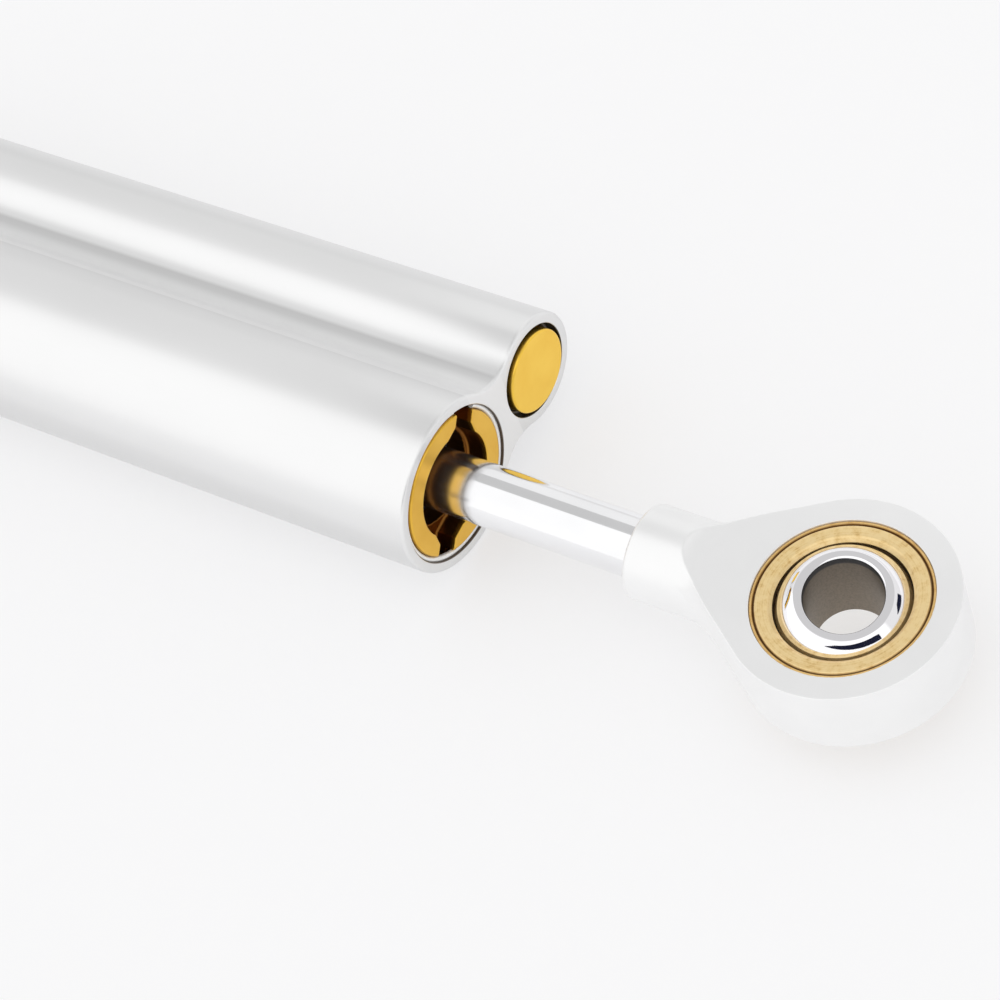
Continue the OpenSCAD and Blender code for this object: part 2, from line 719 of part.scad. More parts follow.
module rod_end() color(clear_anodised) difference() {
    union() {
        shank();
        intersection() {
            eye_plan(-eye_t / 2, eye_t / 2);
            neck_envelope();
        }
    }
    flat_cut();
    mirror([0, 0, 1]) flat_cut();
    round_between(race_r + seat_fit, -eye_t, eye_t);
    translate([-shank_reach, 0, 0]) rotate([0, 90, 0]) {
        round_between(rod_r + seat_fit, -past, rod_seat);
        round_between(tail_r + seat_fit, 0, rod_seat + thread_len + thread_room);
    }
}

module bearing_race() color(brass_tone) difference() {
    round_between(race_r, -race_w / 2, race_w / 2);
    sphere(r = race_seat_r);
    for (side = [0, 1])
        mirror([0, 0, side])
            round_between(race_mouth_d / 2, race_w / 2 - race_mouth_depth, race_w / 2 + past);
}

module bearing_liner() color(liner_brown) difference() {
    intersection() {
        sphere(r = liner_out_r);
        round_between(2 * liner_out_r, -liner_w / 2, liner_w / 2);
    }
    sphere(r = liner_in_r);
}

module bearing_ball() color(polished_steel) rotate([0, ball_lean, ball_lean_way]) difference() {
    intersection() {
        sphere(r = ball_r);
        round_between(ball_d, -ball_w / 2, ball_w / 2);
    }
    round_between(ball_bore / 2, -ball_w, ball_w);
    for (side = [0, 1])
        mirror([0, 0, side]) turned([
            [0, ball_w / 2 - bore_edge], [ball_bore / 2, ball_w / 2 - bore_edge],
            [ball_bore / 2 + bore_edge + past, ball_w / 2 + past], [0, ball_w / 2 + past]
        ]);
}

// The knob turns this screw, and the needle rides along its thread
module adjuster_screw() color(polished_steel) from_rear() difference() {
    turned([
        [0, stem_back], [stem_r, stem_back], [stem_r, collar_at], [collar_r, collar_at],
        [collar_r, collar_at + collar_len], [screw_thread_r, collar_at + collar_len],
        [screw_thread_r, screw_end], [0, screw_end]
    ]);
    round_between(knob_screw_r + seat_fit, knob_back, knob_back + knob_screw_len + knob_screw_hole_over);
}

// The needle is keyed by two flats, so it travels without turning
module adjuster_needle() color(polished_steel) from_rear() difference() {
    union() {
        needle_way(needle_r, needle_flat, needle_back, needle_key_to);
        turned([
            [0, needle_key_to - key_depth], [needle_flat, needle_key_to - key_depth],
            [needle_flat, needle_guide_from], [needle_r, needle_guide_from],
            [needle_r, needle_guide_end], [seat_hole_d / 2, needle_guide_end],
            [seat_hole_d / 2 - needle_taper_gap, needle_taper_at],
            [needle_tip_r, needle_tip], [0, needle_tip]
        ]);
    }
    ring_groove(needle_r, needle_ring_section, needle_ring_at);
    round_between(screw_thread_r + run_fit, 0, screw_end + needle_pitch + needle_room);
}

module needle_oring() color(black_rubber) from_rear()
    sealing_ring(needle_r, needle_ring_section, needle_ring_at);

module adjuster_knob() color(gold_anodised) from_rear() difference() {
    turned([
        [0, -knob_gap], [knob_d / 2 - knob_edge, -knob_gap], [knob_d / 2, -knob_gap - knob_edge],
        [knob_d / 2, knob_back + knob_edge], [knob_d / 2 - knob_edge, knob_back], [0, knob_back]
    ]);
    round_between(stem_r + seat_fit, knob_back, past);
    round_between(knob_screw_head_d / 2 + knob_screw_head_gap, knob_back - past,
        knob_back + knob_screw_head_h);
    for (i = [0 : knob_flutes - 1])
        rotate([0, 0, 360 * i / knob_flutes]) translate([knob_d / 2 + flute_out, 0, 0])
            round_between(flute_d / 2, knob_back - past, 0);
    translate([0, 0, click_ball_at]) {
        rotate_extrude() translate([click_radius, 0]) circle(click_groove_r, $fn = 48);
        for (i = [0 : clicks - 1])
            rotate([0, 0, 90 + 360 * i / clicks]) translate([click_radius, 0, 0])
                sphere(r = click_dimple_r, $fn = 48);
    }
}

module knob_screw() color(polished_steel) from_rear() difference() {
    union() {
        round_between(knob_screw_head_d / 2, knob_back + knob_screw_sink,
            knob_back + knob_screw_head_h);
        round_between(knob_screw_r, knob_back + knob_screw_sink, knob_back + knob_screw_len);
    }
    translate([0, 0, knob_back - past])
        cylinder(d = knob_screw_key / cos(30), h = past + knob_screw_key_depth, $fn = 6);
}

// The separator piston parts the oil from the spring
module separator_piston() color(clear_anodised) on_reservoir() from_front() difference() {
    round_between(side_r - run_fit, separator_depth, separator_depth + separator_len);
    ring_groove(side_r - run_fit, ring_section, separator_depth + separator_len / 2);
    round_between(side_r / 2, separator_depth - past, separator_depth + separator_dish);
}
module separator_oring() color(black_rubber) on_reservoir() from_front()
    sealing_ring(side_r - run_fit, ring_section, separator_depth + separator_len / 2);

echo(spring_gap_to_itself = helix_gap(spring_r, spring_from, spring_to, spring_turns, spring_wire));
echo(body_length = body_len, front_face = front_x, rear_face = rear_x);

twin_tube_body();
seal_head();
seal_head_clip();
seal_head_oring();
wiper_seal();
rod_seal();
guide_bush();
reservoir_plug();
reservoir_plug_clip();
reservoir_plug_oring();
rear_plug();
rear_plug_clip();
rear_plug_oring();
rear_head();
rear_head_clip();
rear_head_orings();
needle_seat();
detent_ball();
detent_spring();
compensator_spring();
piston_band();
band_energiser();
piston_rod();
piston();
front_shim();
rear_shim();
piston_nut();
top_out_bumper();
rod_end();
bearing_race();
bearing_liner();
bearing_ball();
adjuster_screw();
adjuster_knob();
knob_screw();
adjuster_needle();
needle_oring();
separator_piston();
separator_oring();
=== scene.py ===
import math
import bmesh
import bpy
import numpy as np
from mathutils import Matrix, Vector


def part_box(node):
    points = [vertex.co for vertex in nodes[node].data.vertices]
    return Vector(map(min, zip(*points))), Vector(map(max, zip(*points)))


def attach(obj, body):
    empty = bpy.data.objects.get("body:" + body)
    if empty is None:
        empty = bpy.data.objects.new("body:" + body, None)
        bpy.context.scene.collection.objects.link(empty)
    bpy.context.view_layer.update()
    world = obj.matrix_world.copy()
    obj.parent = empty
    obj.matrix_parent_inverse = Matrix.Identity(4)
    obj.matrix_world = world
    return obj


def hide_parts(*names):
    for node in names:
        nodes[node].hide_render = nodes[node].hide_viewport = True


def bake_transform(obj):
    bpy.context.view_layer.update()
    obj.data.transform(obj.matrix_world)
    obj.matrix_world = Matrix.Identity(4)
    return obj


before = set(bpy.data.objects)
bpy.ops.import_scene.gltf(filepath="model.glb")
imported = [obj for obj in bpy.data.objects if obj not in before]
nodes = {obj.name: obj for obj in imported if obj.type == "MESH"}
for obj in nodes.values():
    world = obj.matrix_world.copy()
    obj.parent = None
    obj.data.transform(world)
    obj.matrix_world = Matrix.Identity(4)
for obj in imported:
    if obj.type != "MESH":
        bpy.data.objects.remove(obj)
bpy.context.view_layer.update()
print("frame loaded:", len(nodes), "nodes")

mm = 0.001  # the shapes below are written in millimetres
sharpAngle = math.radians(32)  # steeper corners keep a crisp edge


def edgesOf(node):
    low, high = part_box(node)
    return low / mm, high / mm


bodyLow, bodyHigh = edgesOf("twin_tube_body")
frontX, rearX = bodyHigh.x, bodyLow.x
plugLow, plugHigh = edgesOf("reservoir_plug")
sideY = (plugLow.y + plugHigh.y) / 2


# Places: local Z runs into the body from its front or rear face, or along the bearing's bore
def placeAt(x, y, intoBody):
    return Matrix.Translation((x, y, 0)) @ Matrix.Rotation(math.radians(90 * intoBody), 4, "Y")


mainFront = placeAt(frontX, 0, -1)
sideFront = placeAt(frontX, sideY, -1)
mainRear = placeAt(rearX, 0, 1)
sideRear = placeAt(rearX, sideY, 1)
atBearing = Matrix.Identity(4)


# Shape tools
def addPiece(name, points, faces, place=atBearing, normals=None):
    spots = [place @ Vector(p) * mm for p in points]
    mesh = bpy.data.meshes.new(name)
    mesh.from_pydata(spots, [], faces)
    mesh.shade_smooth()
    piece = bpy.data.objects.new(name, mesh)
    bpy.context.scene.collection.objects.link(piece)
    if normals is None:
        work = bmesh.new()
        work.from_mesh(mesh)
        bmesh.ops.recalc_face_normals(work, faces=work.faces)
        work.to_mesh(mesh)
        work.free()
        mesh.set_sharp_from_angle(angle=sharpAngle)
        weigh = piece.modifiers.new("Even shading", "WEIGHTED_NORMAL")
        weigh.keep_sharp = True
    else:
        turn = place.to_3x3()
        mesh.normals_split_custom_set_from_vertices([turn @ Vector(n) for n in normals])
    return piece


def rounded(corners, steps=5):
    # each corner is (along, out, rounding)
    line = []
    count = len(corners)
    for i, (along, out, rounding) in enumerate(corners):
        here = Vector((along, out))
        if rounding <= 0:
            line.append((along, out))
            continue
        back = (Vector(corners[i - 1][:2]) - here).normalized()
        onward = (Vector(corners[(i + 1) % count][:2]) - here).normalized()
        half = back.angle(onward) / 2
        centre = here + (back + onward).normalized() * (rounding / math.sin(half))
        start = here + back * (rounding / math.tan(half)) - centre
        end = here + onward * (rounding / math.tan(half)) - centre
        sweep = start.angle_signed(end)
        for k in range(steps + 1):
            turned = start.copy()
            turned.rotate(Matrix.Rotation(-sweep * k / steps, 2))
            line.append(tuple(centre + turned))
    return line


def ballZone(radius, start, end, steps):
    # part of a sphere's outline, between two angles above its middle
    lifts = [start + (end - start) * k / steps for k in range(steps + 1)]
    return [(radius * math.sin(lift), radius * math.cos(lift)) for lift in lifts]


def lathe(name, outline, place, turns=176):
    # a closed outline of (along, out); a corner with out at 0 lies on the axis
    points, rings = [], []
    for along, out in outline:
        if out < 1e-6:
            rings.append([len(points)] * turns)
            points.append((0, 0, along))
            continue
        rings.append(list(range(len(points), len(points) + turns)))
        for k in range(turns):
            angle = 2 * math.pi * k / turns
            points.append((out * math.cos(angle), out * math.sin(angle), along))
    faces = []
    for i, ring in enumerate(rings):
        other = rings[(i + 1) % len(rings)]
        for k in range(turns):
            n = (k + 1) % turns
            corners = [ring[k], ring[n], other[n], other[k]]
            face = [c for j, c in enumerate(corners) if c not in corners[:j]]
            if len(face) > 2:
                faces.append(face)
    return addPiece(name, points, faces, place)


def wireRing(name, size, place, sweep, rise=0, steps=150, sides=14):
    # round wire about local Z, as an open ring or as a coil that rises
    points, faces = [], []
    for i in range(steps + 1):
        angle = math.radians(size["turn"] + sweep * i / steps)
        depth = size["depth"] + rise * i / steps
        for k in range(sides):
            around = 2 * math.pi * k / sides
            out = size["radius"] + size["wire"] / 2 * math.cos(around)
            up = depth + size["wire"] / 2 * math.sin(around)
            points.append((out * math.cos(angle), out * math.sin(angle), up))
    for i in range(steps):
        for k in range(sides):
            n = (k + 1) % sides
            faces.append((i * sides + k, i * sides + n, (i + 1) * sides + n, (i + 1) * sides + k))
    faces.append(tuple(range(sides)))
    faces.append(tuple(steps * sides + k for k in range(sides)))
    return addPiece(name, points, faces, place)


def snapRing(name, size, place):
    return wireRing(name, size, place, 360 - size["opening"])


# Solids written as distances: negative inside, and cut with a rounded edge
def meet(a, b, rounding):
    corner = np.hypot(np.maximum(rounding + a, 0), np.maximum(rounding + b, 0))
    return np.minimum(-rounding, np.maximum(a, b)) + corner


def slopeOf(distance, points, reach=0.002):
    slope = np.zeros_like(points)
    for axis in range(3):
        shift = np.zeros(3)
        shift[axis] = reach
        ahead = distance(*(points + shift).T)
        behind = distance(*(points - shift).T)
        slope[:, axis] = (ahead - behind) / (2 * reach)
    return slope


def gridLine(low, high, step, fineSpots=(), fineStep=0.06, fineReach=0.24):
    # even spacing, with closer lines around the spots where an edge runs
    line = np.arange(low, high + step, step)
    for spot in fineSpots:
        line = line[np.abs(line - spot) > fineReach]
        line = np.append(line, np.arange(spot - fineReach, spot + fineReach + 1e-9, fineStep))
    return np.sort(line)


def carve(name, distance, lines, place=atBearing, settling=5):
    # wraps the solid in quads, and then settles each point on its surface
    grid = distance(*np.meshgrid(*lines, indexing="ij"))
    inside = grid < 0
    cellCounts = [len(line) - 1 for line in lines]
    step = max(np.diff(line).max() for line in lines)
    corners = [(i, j, k) for i in (0, 1) for j in (0, 1) for k in (0, 1)]

    def cornerOf(data, c):
        return data[c[0]:c[0] + cellCounts[0], c[1]:c[1] + cellCounts[1], c[2]:c[2] + cellCounts[2]]

    filled = sum(cornerOf(inside, c).astype(np.int8) for c in corners)
    active = (filled > 0) & (filled < 8)
    cells = np.argwhere(active)
    number = np.full(cellCounts, -1, np.int64)
    number[active] = np.arange(len(cells))
    values = {c: cornerOf(grid, c)[active] for c in corners}
    total = np.zeros((len(cells), 3))
    hits = np.zeros(len(cells))
    for axis in range(3):
        for c in corners:
            if c[axis]:
                continue
            far = tuple(1 if i == axis else v for i, v in enumerate(c))
            crosses = (values[c] < 0) != (values[far] < 0)
            spot = np.tile(np.array(c, float), (len(cells), 1))
            spot[:, axis] = values[c] / np.where(crosses, values[c] - values[far], 1)
            total += spot * crosses[:, None]
            hits += crosses
    share = total / hits[:, None]
    points = np.zeros_like(share)
    for axis, line in enumerate(lines):
        points[:, axis] = line[cells[:, axis]] + share[:, axis] * np.diff(line)[cells[:, axis]]
    for _ in range(settling):
        slope = slopeOf(distance, points)
        gap = np.clip(distance(*points.T), -step / 2, step / 2)
        points -= slope * (gap / np.maximum((slope ** 2).sum(1), 0.2))[:, None]
    slope = slopeOf(distance, points)
    normals = slope / np.maximum(np.linalg.norm(slope, axis=1), 1e-9)[:, None]
    faces = []
    for axis in range(3):
        u, v = (axis + 1) % 3, (axis + 2) % 3
        near = np.moveaxis(inside, (axis, u, v), (0, 1, 2))
        cell = np.moveaxis(number, (axis, u, v), (0, 1, 2))
        here, beyond = near[:-1, 1:-1, 1:-1], near[1:, 1:-1, 1:-1]
        loop = [cell[:, :-1, :-1], cell[:, 1:, :-1], cell[:, 1:, 1:], cell[:, :-1, 1:]]
        out = here & ~beyond
        back = beyond & ~here
        faces.append(np.stack([c[out] for c in loop], 1))
        faces.append(np.stack([c[back] for c in loop[::-1]], 1))
    quads = np.concatenate(faces)
    return addPiece(name, points.tolist(), quads.tolist(), place, normals.tolist())


def fit(piece, body, finish, slot, *replaced):
    piece.data.materials.append(finish)
    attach(piece, body)
    if replaced:
        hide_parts(*replaced)


# Finish tools
aboutX, aboutZ = (0, 1, 1), (1, 1, 0)  # the coordinates that count for a distance from each axis


def newFinish(name):
    finish = bpy.data.materials.new(name)
    finish.use_nodes = True
    return finish, finish.node_tree, finish.node_tree.nodes["Principled BSDF"]


def addNode(tree, kind, **settings):
    node = tree.nodes.new(kind)
    for key, value in settings.items():
        setattr(node, key, value)
    return node


def setInputs(node, **values):
    for key, value in values.items():
        node.inputs[key].default_value = value
    return node


def axesOf(tree, coordinates="Object"):
    # the piece's own X, Y and Z, in metres
    spot = addNode(tree, "ShaderNodeTexCoord")
    axes = addNode(tree, "ShaderNodeSeparateXYZ")
    tree.links.new(spot.outputs[coordinates], axes.inputs["Vector"])
    return axes.outputs


def grain(tree, stretch, detail=3.0, roughness=0.55):
    # noise in the piece's own coordinates; stretch is cycles per metre along each axis
    spot = addNode(tree, "ShaderNodeTexCoord")
    mapping = setInputs(addNode(tree, "ShaderNodeMapping"), Scale=stretch)
    noise = setInputs(addNode(tree, "ShaderNodeTexNoise"), Scale=1.0, Detail=detail, Roughness=roughness)
    tree.links.new(spot.outputs["Object"], mapping.inputs["Vector"])
    tree.links.new(mapping.outputs["Vector"], noise.inputs["Vector"])
    return noise.outputs["Fac"]


def fromAxis(tree, about, centreY=0):
    # distance from an axis of the piece, in metres
    spot = addNode(tree, "ShaderNodeTexCoord")
    shift = addNode(tree, "ShaderNodeVectorMath", operation="SUBTRACT")
    shift.inputs[1].default_value = (0, centreY * mm, 0)
    flat = addNode(tree, "ShaderNodeVectorMath", operation="MULTIPLY")
    flat.inputs[1].default_value = about
    length = addNode(tree, "ShaderNodeVectorMath", operation="LENGTH")
    tree.links.new(spot.outputs["Object"], shift.inputs[0])
    tree.links.new(shift.outputs["Vector"], flat.inputs[0])
    tree.links.new(flat.outputs["Vector"], length.inputs[0])
    return length.outputs["Value"]


def toolMarks(tree, radius, perMetre, detail=2.0):
    # uneven rings, as a lathe tool leaves them
    noise = addNode(tree, "ShaderNodeTexNoise", noise_dimensions="1D")
    setInputs(noise, Scale=perMetre, Detail=detail, Roughness=0.6)
    tree.links.new(radius, noise.inputs["W"])
    return noise.outputs["Fac"]


def spread(tree, source, low, high, fromLow=0.3, fromHigh=0.7):
    node = addNode(tree, "ShaderNodeMapRange")
    setInputs(node, **{"From Min": fromLow, "From Max": fromHigh, "To Min": low, "To Max": high})
    tree.links.new(source, node.inputs["Value"])
    return node.outputs["Result"]


def tint(tree, source, *stops):
    ramp = addNode(tree, "ShaderNodeValToRGB")
    bar = ramp.color_ramp.elements
    while len(bar) < len(stops):
        bar.new(0.5)
    for element, (place, colour) in zip(bar, stops):
        element.position = place
        element.color = (*colour, 1)
    tree.links.new(source, ramp.inputs["Fac"])
    return ramp.outputs["Color"]


def twoTone(tree, source, dark, light, low=0.3, high=0.7):
    return tint(tree, source, (low, dark), (high, light))


def greys(*steps):
    return [(place, (level, level, level)) for place, level in steps]


def dimmed(colour, share):
    return tuple(share * c for c in colour)


def shifted(tree, source, amount):
    node = addNode(tree, "ShaderNodeMath", operation="ADD")
    node.inputs[1].default_value = amount
    tree.links.new(source, node.inputs[0])
    return node.outputs["Value"]


def combined(tree, operation, first, second):
    node = addNode(tree, "ShaderNodeMath", operation=operation)
    tree.links.new(first, node.inputs[0])
    tree.links.new(second, node.inputs[1])
    return node.outputs["Value"]


def topped(tree, base, extra, share):
    # the base with a share of the extra on top
    node = addNode(tree, "ShaderNodeMath", operation="MULTIPLY_ADD")
    node.inputs[1].default_value = share
    tree.links.new(extra, node.inputs[0])
    tree.links.new(base, node.inputs[2])
    return node.outputs["Value"]


def layered(tree, cover, under, over):
    # a constant colour under a worked one, by how far the cover reaches
    node = addNode(tree, "ShaderNodeMix", data_type="RGBA")
    tree.links.new(cover, node.inputs["Factor"])
    node.inputs["A"].default_value = (*under, 1)
    tree.links.new(over, node.inputs["B"])
    return node.outputs["Result"]


def washed(tree, tone, wash):
    node = addNode(tree, "ShaderNodeMix", data_type="RGBA", blend_type="MULTIPLY")
    setInputs(node, Factor=1.0)
    tree.links.new(tone, node.inputs["A"])
    tree.links.new(wash, node.inputs["B"])
    return node.outputs["Result"]


def dress(tree, shader, tone, gloss, metal=1.0):
    setInputs(shader, Metallic=metal)
    tree.links.new(tone, shader.inputs["Base Color"])
    tree.links.new(gloss, shader.inputs["Roughness"])


def bumped(tree, shader, height, strength, depth):
    bump = setInputs(addNode(tree, "ShaderNodeBump"), Strength=strength, Distance=depth * mm)
    tree.links.new(height, bump.inputs["Height"])
    tree.links.new(bump.outputs["Normal"], shader.inputs["Normal"])


# Finishes
satinTube = {
    "light": (0.853, 0.853, 0.853), "dark": (0.838, 0.838, 0.838), "smooth": 0.30, "rough": 0.36,
    "drawnLines": (25, 5000, 5000), "cloud": (60, 120, 120), "lineBump": 0.01, "lineDepth": 0.002,
    # slant: painted shade, greyer towards the tubes' outlines
    "slant": greys((0.16, 1.0), (0.22, 0.995), (0.28, 0.985), (0.36, 0.975), (0.46, 0.96), (0.55, 0.905),
                   (0.64, 0.88), (0.80, 0.86)),
    "hollowMiddle": 10.2, "hollowReach": 4.2, "hollowFade": 1.0, "hollowSpan": 20.0,
    # hollow: painted light and shade across the hollow between the tubes
    "hollow": greys((6.6, 1.0), (7.3, 1.05), (8.3, 1.16), (9.1, 1.15), (10.4, 0.965), (11.8, 0.765),
                    (12.6, 0.73), (13.1, 0.93), (14.3, 1.0)),
    "hollowEnd": 0.5, "endFace": 0.1,
    # bore: painted shade inside the bores
    "bore": (0.10, 0.075, 0.055), "wallFade": 0.08,
    "mainWall": 10.36, "mainLitDepth": 0.08, "sideWall": 6.36, "sideLitDepth": 0.34,
}


def makeSatinTube():
    size = satinTube
    finish, tree, shader = newFinish("satinTube")
    lines = grain(tree, size["drawnLines"], 3)
    cloud = grain(tree, size["cloud"], 2)
    axes = axesOf(tree)
    tone = twoTone(tree, cloud, size["dark"], size["light"])
    # painted shade: the tubes are painted greyer at a slant, towards their outlines, but not in the hollow
    # between the tubes
    slant = setInputs(addNode(tree, "ShaderNodeLayerWeight"), Blend=0.5)
    slantTone = tint(tree, slant.outputs["Facing"], *size["slant"])
    away = addNode(tree, "ShaderNodeMath", operation="ABSOLUTE")
    tree.links.new(shifted(tree, axes["Y"], -size["hollowMiddle"] * mm), away.inputs[0])
    fadeFrom = (size["hollowReach"] - size["hollowFade"]) * mm
    shelter = spread(tree, away.outputs["Value"], 1.0, 0.0, fadeFrom, size["hollowReach"] * mm)
    tone = washed(tree, tone, combined(tree, "MAXIMUM", slantTone, shelter))
    # painted light and shade in the hollow: lighter on the main tube and darker along its floor
    across = spread(tree, axes["Y"], 0.0, 1.0, 0.0, size["hollowSpan"] * mm)
    hollow = tint(tree, across, *[(place / size["hollowSpan"], level) for place, level in size["hollow"]])
    hollowEnd, endFace = (frontX - size["hollowEnd"]) * mm, (frontX - size["endFace"]) * mm
    alongTubes = spread(tree, axes["X"], 1.0, 0.0, hollowEnd, endFace)
    tone = washed(tree, tone, layered(tree, alongTubes, (1, 1, 1), hollow))
    # painted shade: the bores are painted dark inside, but for a lit edge at the front
    boreShades = []
    for bore, centreY in [("main", 0), ("side", sideY)]:
        fromBore = shifted(tree, fromAxis(tree, aboutX, centreY), -size[bore + "Wall"] * mm)
        fromFront = shifted(tree, axes["X"], (size[bore + "LitDepth"] - frontX) * mm)
        boreShades.append(combined(tree, "MAXIMUM", fromBore, fromFront))
    boreShade = spread(tree, combined(tree, "MINIMUM", *boreShades), 0.0, 1.0, 0.0, size["wallFade"] * mm)
    tone = layered(tree, boreShade, size["bore"], tone)
    dress(tree, shader, tone, spread(tree, lines, size["smooth"], size["rough"]))
    bumped(tree, shader, lines, size["lineBump"], size["lineDepth"])
    return finish


machinedEye = {
    "light": (0.895, 0.895, 0.895), "dark": (0.87, 0.87, 0.87), "metal": 0.45, "smooth": 0.30, "rough": 0.36,
    "blast": (5200, 5200, 5200), "cloud": (130, 130, 130), "blastBump": 0.02, "blastDepth": 0.005,
}


def makeMachinedEye():
    size = machinedEye
    finish, tree, shader = newFinish("machinedEye")
    fine = grain(tree, size["blast"], 3)  # blasted grain under the anodising
    cloud = grain(tree, size["cloud"], 2)
    tone = twoTone(tree, cloud, size["dark"], size["light"])
    dress(tree, shader, tone, spread(tree, fine, size["smooth"], size["rough"]), size["metal"])
    bumped(tree, shader, fine, size["blastBump"], size["blastDepth"])
    return finish


goldFinish = {
    # head: darker tones of the same gold, painted shade for the seal head
    "plain": ((0.92, 0.575, 0.075), (0.97, 0.635, 0.095)), "head": ((0.79, 0.455, 0.06), (0.84, 0.51, 0.078)),
    "smooth": 0.29, "rough": 0.34, "rings": 9000, "cloud": (220, 220, 220),
    "ringBump": 0.012, "ringDepth": 0.004,
    # deep: painted shade down in the seal head's recess and slots
    "deep": (0.24, 0.10, 0.02), "shadeFrom": 0.5, "shadeFade": 0.5,
}


def makeGold(name, centreY, tones, recessed=False):
    size = goldFinish
    finish, tree, shader = newFinish(name)
    marks = toolMarks(tree, fromAxis(tree, aboutX, centreY), size["rings"])
    tone = twoTone(tree, grain(tree, size["cloud"], 3), *tones)
    if recessed:
        # painted shade: darker and plainer down in the recess and the slots
        shallow = frontX - size["shadeFrom"]
        cover = spread(tree, axesOf(tree)["X"], 0.0, 1.0, (shallow - size["shadeFade"]) * mm, shallow * mm)
        tone = layered(tree, cover, size["deep"], tone)
        marks = combined(tree, "MULTIPLY", marks, cover)
    dress(tree, shader, tone, spread(tree, marks, size["smooth"], size["rough"]))
    bumped(tree, shader, marks, size["ringBump"], size["ringDepth"])
    return finish


chromeFinish = {
    "colour": (0.90, 0.90, 0.91), "hazeTone": 0.95, "smooth": 0.06, "rough": 0.13, "film": 0.13,
    "hone": (9000, 700, 700), "haze": (90, 260, 260), "hazeShare": 0.6, "honeBump": 0.02, "honeDepth": 0.004,
    "filmFrom": 0.5, "filmTo": 6.0,
}


def makeChrome():
    size = chromeFinish
    finish, tree, shader = newFinish("hardChrome")
    hone = grain(tree, size["hone"], 3)  # honing lines run around the rod
    haze = grain(tree, size["haze"], 3)
    tone = twoTone(tree, haze, dimmed(size["colour"], size["hazeTone"]), size["colour"])
    worn = topped(tree, hone, haze, size["hazeShare"])
    clean = spread(tree, worn, size["smooth"], size["rough"], 0.5, 1.1)
    filmFrom, filmTo = (frontX + size["filmFrom"]) * mm, (frontX + size["filmTo"]) * mm
    film = spread(tree, axesOf(tree)["X"], size["film"], 0.0, filmFrom, filmTo)  # oil left by the wiper
    dress(tree, shader, tone, topped(tree, clean, film, 1.0))
    bumped(tree, shader, hone, size["honeBump"], size["honeDepth"])
    return finish


ballFinish = {
    # bevel: painted shade on the bore's bevel and at the top mouth of the bore
    "mirror": (0.94, 0.93, 0.95), "bevel": (0.05, 0.05, 0.055), "bore": (0.265, 0.222, 0.175),
    "speckTone": 0.72,
    "boreRadius": 4.84, "bevelTo": 4.885, "boreFade": 0.03, "mirrorFade": 0.05, "rimFrom": 5.5, "rimTo": 5.9,
    "boreRough": 0.45, "mirrorRough": (0.02, 0.055), "haze": (1500, 1500, 1500), "specks": (3800, 3800, 2600),
}


def makeBallSteel():
    size = ballFinish
    finish, tree, shader = newFinish("ballSteel")
    radius = fromAxis(tree, aboutZ)
    inner, outer = size["boreRadius"] * mm, size["bevelTo"] * mm
    bevelShade = spread(tree, radius, 0.0, 1.0, inner, outer)
    haze = grain(tree, size["haze"], 3)
    specks = grain(tree, size["specks"], 4)
    boreTone = twoTone(tree, specks, dimmed(size["bore"], size["speckTone"]), size["bore"], 0.25, 0.6)
    # painted shade: the top of the bore is painted dark towards its mouth
    mouthShade = spread(tree, axesOf(tree)["Z"], 1.0, 0.0, size["rimFrom"] * mm, size["rimTo"] * mm)
    boreTone = layered(tree, mouthShade, size["bevel"], boreTone)  # a dark line at the mouth of the bore
    # painted shade: the bore's bevel is painted dark, and the face beyond it is mirror steel
    skin = tint(tree, bevelShade, (0.0, size["bevel"]), (0.8, size["bevel"]), (1.0, size["mirror"]))
    tone = addNode(tree, "ShaderNodeMix", data_type="RGBA")
    outside = spread(tree, radius, 0.0, 1.0, inner - size["boreFade"] * mm, inner)
    tree.links.new(outside, tone.inputs["Factor"])
    tree.links.new(boreTone, tone.inputs["A"])
    tree.links.new(skin, tone.inputs["B"])
    gloss = addNode(tree, "ShaderNodeMix", data_type="FLOAT")
    polished = spread(tree, radius, 0.0, 1.0, outer, outer + size["mirrorFade"] * mm)
    tree.links.new(polished, gloss.inputs["Factor"])
    gloss.inputs["A"].default_value = size["boreRough"]
    tree.links.new(spread(tree, haze, *size["mirrorRough"]), gloss.inputs["B"])
    dress(tree, shader, tone.outputs["Result"], gloss.outputs["Result"])
    return finish


brassFinish = {
    "light": (0.93, 0.71, 0.36), "dark": (0.84, 0.61, 0.275), "stain": (0.66, 0.43, 0.16), "metal": 0.6,
    "smooth": 0.30, "rough": 0.44, "rings": 5600, "ringShare": 0.35, "patches": (900, 900, 900),
    "patchBump": 0.12, "patchDepth": 0.02,
    # soot: painted shade in the staked groove
    "grooveFrom": 10.25, "grooveTo": 10.98, "grooveShade": (0.14, 0.08, 0.035), "lip": (0.90, 0.80, 0.64),
}


def makeBrass():
    size = brassFinish
    finish, tree, shader = newFinish("bearingBrass")
    rings = toolMarks(tree, fromAxis(tree, aboutZ), size["rings"])
    patches = grain(tree, size["patches"], 5, 0.65)
    mottled = topped(tree, patches, rings, size["ringShare"])
    tone = tint(tree, mottled, (0.45, size["stain"]), (0.58, size["dark"]), (0.76, size["light"]))
    # painted shade in the staked groove, and a darker tone on the lip outside it
    outward = spread(tree, fromAxis(tree, aboutZ), 0.0, 1.0, size["grooveFrom"] * mm, size["grooveTo"] * mm)
    clean, grooveShade, lip = (1, 1, 1), size["grooveShade"], size["lip"]
    grooveShadeAndLip = tint(tree, outward, (0.0, clean), (0.16, clean), (0.30, grooveShade), (0.48, grooveShade),
                (0.66, lip), (1.0, lip))
    gloss = spread(tree, mottled, size["rough"], size["smooth"], 0.45, 0.85)
    dress(tree, shader, washed(tree, tone, grooveShadeAndLip), gloss, size["metal"])
    bumped(tree, shader, mottled, size["patchBump"], size["patchDepth"])
    return finish


